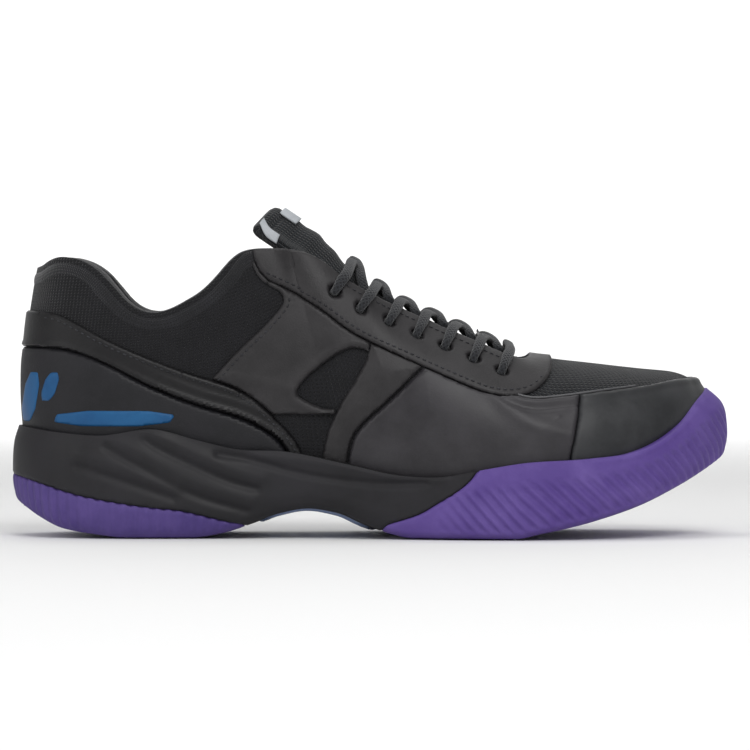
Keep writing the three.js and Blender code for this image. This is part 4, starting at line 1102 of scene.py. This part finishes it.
# ------------------------------------------------------------------ tongue
THROAT_HALF, CROWN, TONGUE_SIDES, TONGUE_THICK = 17.0, -2.0, -8.4, 5.4
TONGUE_ROWS, TONGUE_FREE, TONGUE_COLUMNS = 72, 28, 73
TONGUE_RISE = np.array([-18.8 * grade_x, 0, 12.6 * grade_z])


def tongue_sections():
    """The last cut across the instep at stations up the throat: points and normals, in rows."""
    stations = top_line(np.linspace(0.71, 0.5, TONGUE_ROWS))[:, [0, 2]]
    way = unit(np.gradient(stations, axis=0))
    rows = []
    for sign in BOTH:
        s, t = np.linspace(0.3, 0.86, 420), np.linspace(1, 0.4, 130)
        points, normals = last_grid(sign, s, t)
        for (x, z), (dx, dz) in zip(stations, way):
            past = (points[..., 0] - x) * dx + (points[..., 2] - z) * dz
            found, near = [], np.argmin(np.abs(top_line(s)[:, 0] - x) + (s < ANKLE_FRONT) * FAR)
            for column in range(len(t)):
                crossings = np.flatnonzero((past[:-1, column] > 0) & (past[1:, column] <= 0))
                if len(crossings) == 0:
                    break
                near = crossings[np.argmin(np.abs(crossings - near))]
                f = past[near, column] / (past[near, column] - past[near + 1, column])
                pair = np.concatenate([points[near:near + 2, column], normals[near:near + 2, column]], 1)
                found.append(pair[0] * (1 - f) + pair[1] * f)
            rows.append(np.array(found))
    return rows[:TONGUE_ROWS], rows[TONGUE_ROWS:]


lateral_rows, medial_rows = tongue_sections()
up_tongue = np.linspace(0, 1, TONGUE_ROWS + TONGUE_FREE)
half_widths = (23 + 8 * smooth(up_tongue, 0.3, 0.9)) * (1 - 0.3 * smooth(up_tongue, 0.9, 1) ** 2) * grade_y
across_tongue = np.linspace(-1, 1, TONGUE_COLUMNS)
tongue_points = np.empty((TONGUE_ROWS + TONGUE_FREE, TONGUE_COLUMNS, 6))
for row, half_width in enumerate(half_widths):
    left, right = lateral_rows[min(row, TONGUE_ROWS - 1)], medial_rows[min(row, TONGUE_ROWS - 1)]
    section = np.concatenate([left[::-1], right[1:]])
    steps = lengths_along(section[:, :3])
    wanted = steps[len(left) - 1] + across_tongue * half_width
    tongue_points[row] = np.stack([np.interp(wanted, steps, section[:, c]) for c in range(6)], -1)
    tongue_points[row, :, :3] += TONGUE_RISE * max(0, row - TONGUE_ROWS + 1) / TONGUE_FREE
tongue_base, tongue_normals = tongue_points[..., :3], unit(tongue_points[..., 3:])
tongue_along = lengths_along(tongue_base[:, TONGUE_COLUMNS // 2])
sideways = np.abs(across_tongue)[None, :] * half_widths[:, None]
tongue_level = CROWN + (TONGUE_SIDES - CROWN) * smooth(sideways, 0, THROAT_HALF * grade_y)
to_edge = np.minimum(half_widths[:, None] - sideways, (tongue_along[-1] - tongue_along)[:, None])
tongue_edge = TONGUE_THICK / 2 * (1 - np.sqrt(1 - (1 - np.clip(to_edge / 3.2, 0, 1)) ** 2))
quilting = 0.25 * np.cos(tongue_along * math.tau / 11)[:, None] * smooth(to_edge, 2, 7)
border = -0.7 * bead(to_edge - 6, 1.0)
tongue_face = tongue_level + quilting + border - tongue_edge
tongue_back = tongue_level - TONGUE_THICK + tongue_edge
tongue_uv = np.stack(np.broadcast_arrays(tongue_along[:, None], across_tongue * half_widths[:, None]), -1)
bm = bmesh.new()
grid_into(bm, tongue_base + tongue_normals * tongue_face[..., None], tongue_uv)
grid_into(bm, tongue_base + tongue_normals * tongue_back[..., None], tongue_uv, flip=True)
closed_up(bm, 0.02)
tongue_pad = finish_piece(
    bm, "tongue_pad", TONGUE_MESH, "tongue", ("tongue_face", "tongue_padding", "tongue_lining"),
    60,
)


def tongue_patch(name, rows, columns, rise, replaces):
    """A sewn label that lies on the tongue's face over a block of its grid."""
    place = np.ix_(np.arange(*rows), np.arange(*columns))
    level = (tongue_level + rise)[place]
    bm = bmesh.new()
    grid_into(bm, tongue_base[place] + tongue_normals[place] * level[..., None], tongue_uv[place])
    finish_piece(bm, name, LABEL, "tongue", replaces, 50, 0.6)


tongue_patch("size_label_piece", (86, 99), (1, 13), 1.0, ("size_label",))
tongue_patch("tongue_label_piece", (84, 95), (28, 45), 1.0, ("tongue_label",))

# ------------------------------------------------------------------ lace
LACE_WIDTH, LACE_THICK = 4.4, 2.2
OVER = RISE + LACE_THICK / 2 + 0.15
UNDER = -5.4
LOW = CROWN + LACE_THICK / 2 + 0.3
HIGH = LOW + LACE_THICK
slope = throat_line[-1] - throat_line[0]
throat_way = np.array([slope[0], 0, slope[1]]) / np.linalg.norm(slope)


def lace_knot(found, rise, width=LACE_WIDTH, thick=LACE_THICK):
    """A knot of the lace's route above a found place, with the lace's section there."""
    point, normal = found
    return [*(point + normal * rise), width, thick]


def near_edge(sign, k, past):
    """A place beside the throat's edge, level with an eyelet and so far past the edge."""
    return VIEW[sign].at(along_line(beside(throat_line, past), eyelet_share(k)))


def instep(share, offset=0.0):
    """A place on the instep, at a share of the throat's length and so far to one side."""
    x = along_line(throat_line, share)[0]
    return VIEW[LATERAL if offset <= 0 else MEDIAL].at((x, instep_shift(x) + offset * grade_y), (0, 1))


def strand(start):
    """One strand, from the bottom eyelet on one side to a top eyelet, tucked down inside the quarter."""
    knots, sign, half = [], start, THROAT_HALF / 2
    for k in range(EYELET_PAIRS):
        knots.append(lace_knot(near_edge(sign, k, 0), OVER + 0.7))
        knots.append(lace_knot(near_edge(sign, k, 3.2), OVER + 1.1))
        knots.append(lace_knot(eyelets[sign][k], OVER - 0.7, 3.4, 3.0))
        knots.append(lace_knot(eyelets[sign][k], UNDER, 3.4, 2.6))
        if k == EYELET_PAIRS - 1:
            x, z = along_line(eyelet_row, eyelet_share(k))
            knots.append(lace_knot(VIEW[sign].at((x - 1, z - 12)), UNDER - 0.9))
            return knots
        knots.append(lace_knot(near_edge(sign, k, -2.5), UNDER + 0.7))
        shares = [eyelet_share(k) + (eyelet_share(k + 1) - eyelet_share(k)) * f for f in (0.25, 0.5, 0.75)]
        middle = HIGH if (k % 2 == 0) == (start == LATERAL) else LOW
        knots.append(lace_knot(instep(shares[0], sign * half), (UNDER + middle) / 2 + 1.2))
        knots.append(lace_knot(instep(shares[1]), middle))
        knots.append(lace_knot(instep(shares[2], -sign * half), (OVER + middle) / 2 + 0.5))
        sign = -sign


bar = [
    lace_knot(instep(eyelet_share(0), side_of * THROAT_HALF * f), OVER)
    for side_of, f in ((LATERAL, 0.5), (LATERAL, 0), (MEDIAL, 0.5))
]
lace_knots = np.array([*strand(LATERAL)[::-1], *bar, *strand(MEDIAL)])
gaps = np.sqrt(np.linalg.norm(np.diff(lace_knots[:, :3], axis=0), axis=-1))
lace_t = np.concatenate([[0], np.cumsum(gaps)])
lace_route = through([(t, *knot) for t, knot in zip(lace_t, lace_knots)])
lace_steps = lace_route(np.linspace(0, lace_t[-1], 1500))
path, width, thick = lace_steps[:, :3], lace_steps[:, 3, None, None], lace_steps[:, 4, None, None]
way = unit(np.gradient(path, axis=0))
broad = unit(throat_way - (way @ throat_way)[:, None] * way)
flat = np.cross(way, broad)


def squared(value):
    """A cosine or sine drawn out towards the corners of a rounded square."""
    return (np.sign(value) * np.abs(value) ** 0.8)[None, :, None]


round_the = np.linspace(0, math.tau, 15)
ring = (
    path[:, None] + broad[:, None] * squared(np.cos(round_the)) * width / 2
    + flat[:, None] * squared(np.sin(round_the)) * thick / 2
)
uv = np.stack(np.broadcast_arrays(lengths_along(path)[:, None], round_the[None, :] * 2.2), -1)
bm = bmesh.new()
grid_into(bm, ring, uv)
closed_up(bm, 0.01)
finish_piece(bm, "lace_piece", CORD, "shoe", ("lace",), 80)

TIP_LENGTH, TIP_OVERLAP = 16, 0.2
for side_name, end, before in (("lateral", 0, 6), ("medial", -1, -7)):
    direction = Vector(path[end] - path[before]).normalized()
    middle = Vector(path[end]) + direction * (TIP_LENGTH / 2 - TIP_OVERLAP)
    turned = direction.to_track_quat("Z", "Y").to_matrix().to_4x4()
    bm = bmesh.new()
    bmesh.ops.create_cone(
        bm, cap_ends=True, segments=20, radius1=1.5, radius2=1.3, depth=TIP_LENGTH,
        matrix=Matrix.Translation(middle) @ turned,
    )
    ends = [e for e in bm.edges if len(e.link_faces) == 2 and e.calc_face_angle() > 1]
    bmesh.ops.bevel(bm, geom=ends, offset=0.3, segments=3, affect="EDGES")
    finish_piece(bm, f"lace_tip_{side_name}_piece", TIP, "shoe", (f"lace_tip_{side_name}",), 40)

# ------------------------------------------------------------------ print on the heel
PRINT = [
    [(-139.5, 67), (-133.5, 67), (-137, 47), (-143, 47)],
    [(-131, 67), (-125.5, 67), (-129, 55.5), (-134.5, 55.5)],
    [(-126.8, 51.6), (-78.5, 51.6), (-83, 45.4), (-129, 45.4)],
]
print_regions = [inside(outline, 1) for outline in PRINT]


def print_zone(p):
    return np.maximum.reduce([region(p) for region in print_regions])


sheet(
    "heel_print", print_zone, rolled(RISE + 0.5, 0.3, 0.94), BLUE_PRINT, spacing=0.8,
    thickness=0.4,
)

# ------------------------------------------------------------------ stitching
STITCH, PITCH, THREAD_WIDTH, THREAD_HEIGHT = 1.9, 2.7, 0.84, 0.6
THREAD_LIFT, SEWN_IN, SEWN_FROM = 0.12, 1.0, -134
stitches = bmesh.new()


def stitch_row(sign, line, moved, region, height):
    """Stitches along a line moved square to itself, wherever the piece lies under them."""
    line = beside(softened(side(line), False), moved)
    total = lengths_along(line)[-1]
    places = np.array([along_line(line, share) for share in np.arange(0, 1, PITCH / total)])
    for place, ahead_of in zip(places[:-1], places[1:]):
        point, normal = VIEW[sign].at(place)
        depth = region(point[None])
        if depth[0] < SEWN_IN or point[0] < SEWN_FROM * grade_x:
            continue
        after, _ = VIEW[sign].at(ahead_of)
        run = after - point
        if not 1.5 < np.linalg.norm(run) < 5:
            continue
        centre = point + run / 2 + normal * (height(point[None], depth)[0] + THREAD_LIFT)
        axes = Matrix((unit(run), np.cross(normal, unit(run)), normal)).transposed().to_4x4()
        shape = Matrix.Diagonal((STITCH / 2, THREAD_WIDTH / 2, THREAD_HEIGHT / 2, 1))
        bmesh.ops.create_icosphere(
            stitches, subdivisions=1, radius=1, matrix=Matrix.Translation(Vector(centre)) @ axes @ shape,
        )


for sign in BOTH:
    stitch_row(sign, BAND_TOP, 2.2, band_zone, band_height)
    stitch_row(sign, QUARTER_SEAM, -2.2, panel_zone, side_panel_height)
    stitch_row(sign, EYESTAY_BOTTOM[:-1], -2.2, stay_zone, stay_height)
    stitch_row(sign, THROAT, 2.4, stay_zone, stay_height)
    stitch_row(sign, COLLAR[3:-1], 4.4, both(covered, outside(panel_zone)), lambda p, d: 0 * d + 0.05)
finish_piece(stitches, "stitching", THREAD, "shoe", (), 80)

# ------------------------------------------------------------------ inside
LINER_INSET, LINER_LEVEL, LINER_DOME, LINER_ROUND = 14.5, 6.0, 1.6, 1.4
liner_s = np.linspace(0, 1, 260)[:, None]
liner_f = np.linspace(0, 1, 90)[None, :, None]


def liner_edge(sign):
    station, at, _ = plan_at(-sign * liner_s, LINER_INSET)
    return np.stack([at[..., 0], at[..., 1], cup_floor(station)], -1)


edges = [liner_edge(sign) for sign in BOTH]
liner = edges[0] * (1 - liner_f) + edges[1] * liner_f
nearness = np.minimum(liner_f, 1 - liner_f)[..., 0] * np.linalg.norm(edges[0] - edges[1], axis=-1)
liner[..., 2] = cup_floor(liner[..., 0]) + LINER_LEVEL + LINER_DOME * (1 - smooth(nearness, 0, 16))
liner[..., 2] -= LINER_ROUND * (1 - smooth(nearness, 0, 1.5))
bm = bmesh.new()
grid_into(bm, liner, liner[..., :2])
bmesh.ops.remove_doubles(bm, verts=bm.verts, dist=0.02)
sockliner = finish_piece(bm, "sockliner_piece", INSOLE, "insole", ("sockliner",), 60, 3.6)
bpy.data.objects["insole_board"].material_slots[0].material = BOARD

# ------------------------------------------------------------------ floor
bm = bmesh.new()
bmesh.ops.create_grid(bm, x_segments=2, y_segments=60, size=1)
for vert in bm.verts:
    run = (vert.co.y + 1) * 5
    vert.co = (vert.co.x * 6, min(run, 8.6) - 5, max(0, run - 7.8) ** 2 * 0.8 - 0.0006)
floor_mesh = bpy.data.meshes.new("studio_floor")
bm.to_mesh(floor_mesh)
bm.free()
floor_mesh.shade_smooth()
studio_floor = bpy.data.objects.new("studio_floor", floor_mesh)
bpy.context.collection.objects.link(studio_floor)
floor_mesh.materials.append(FLOOR)
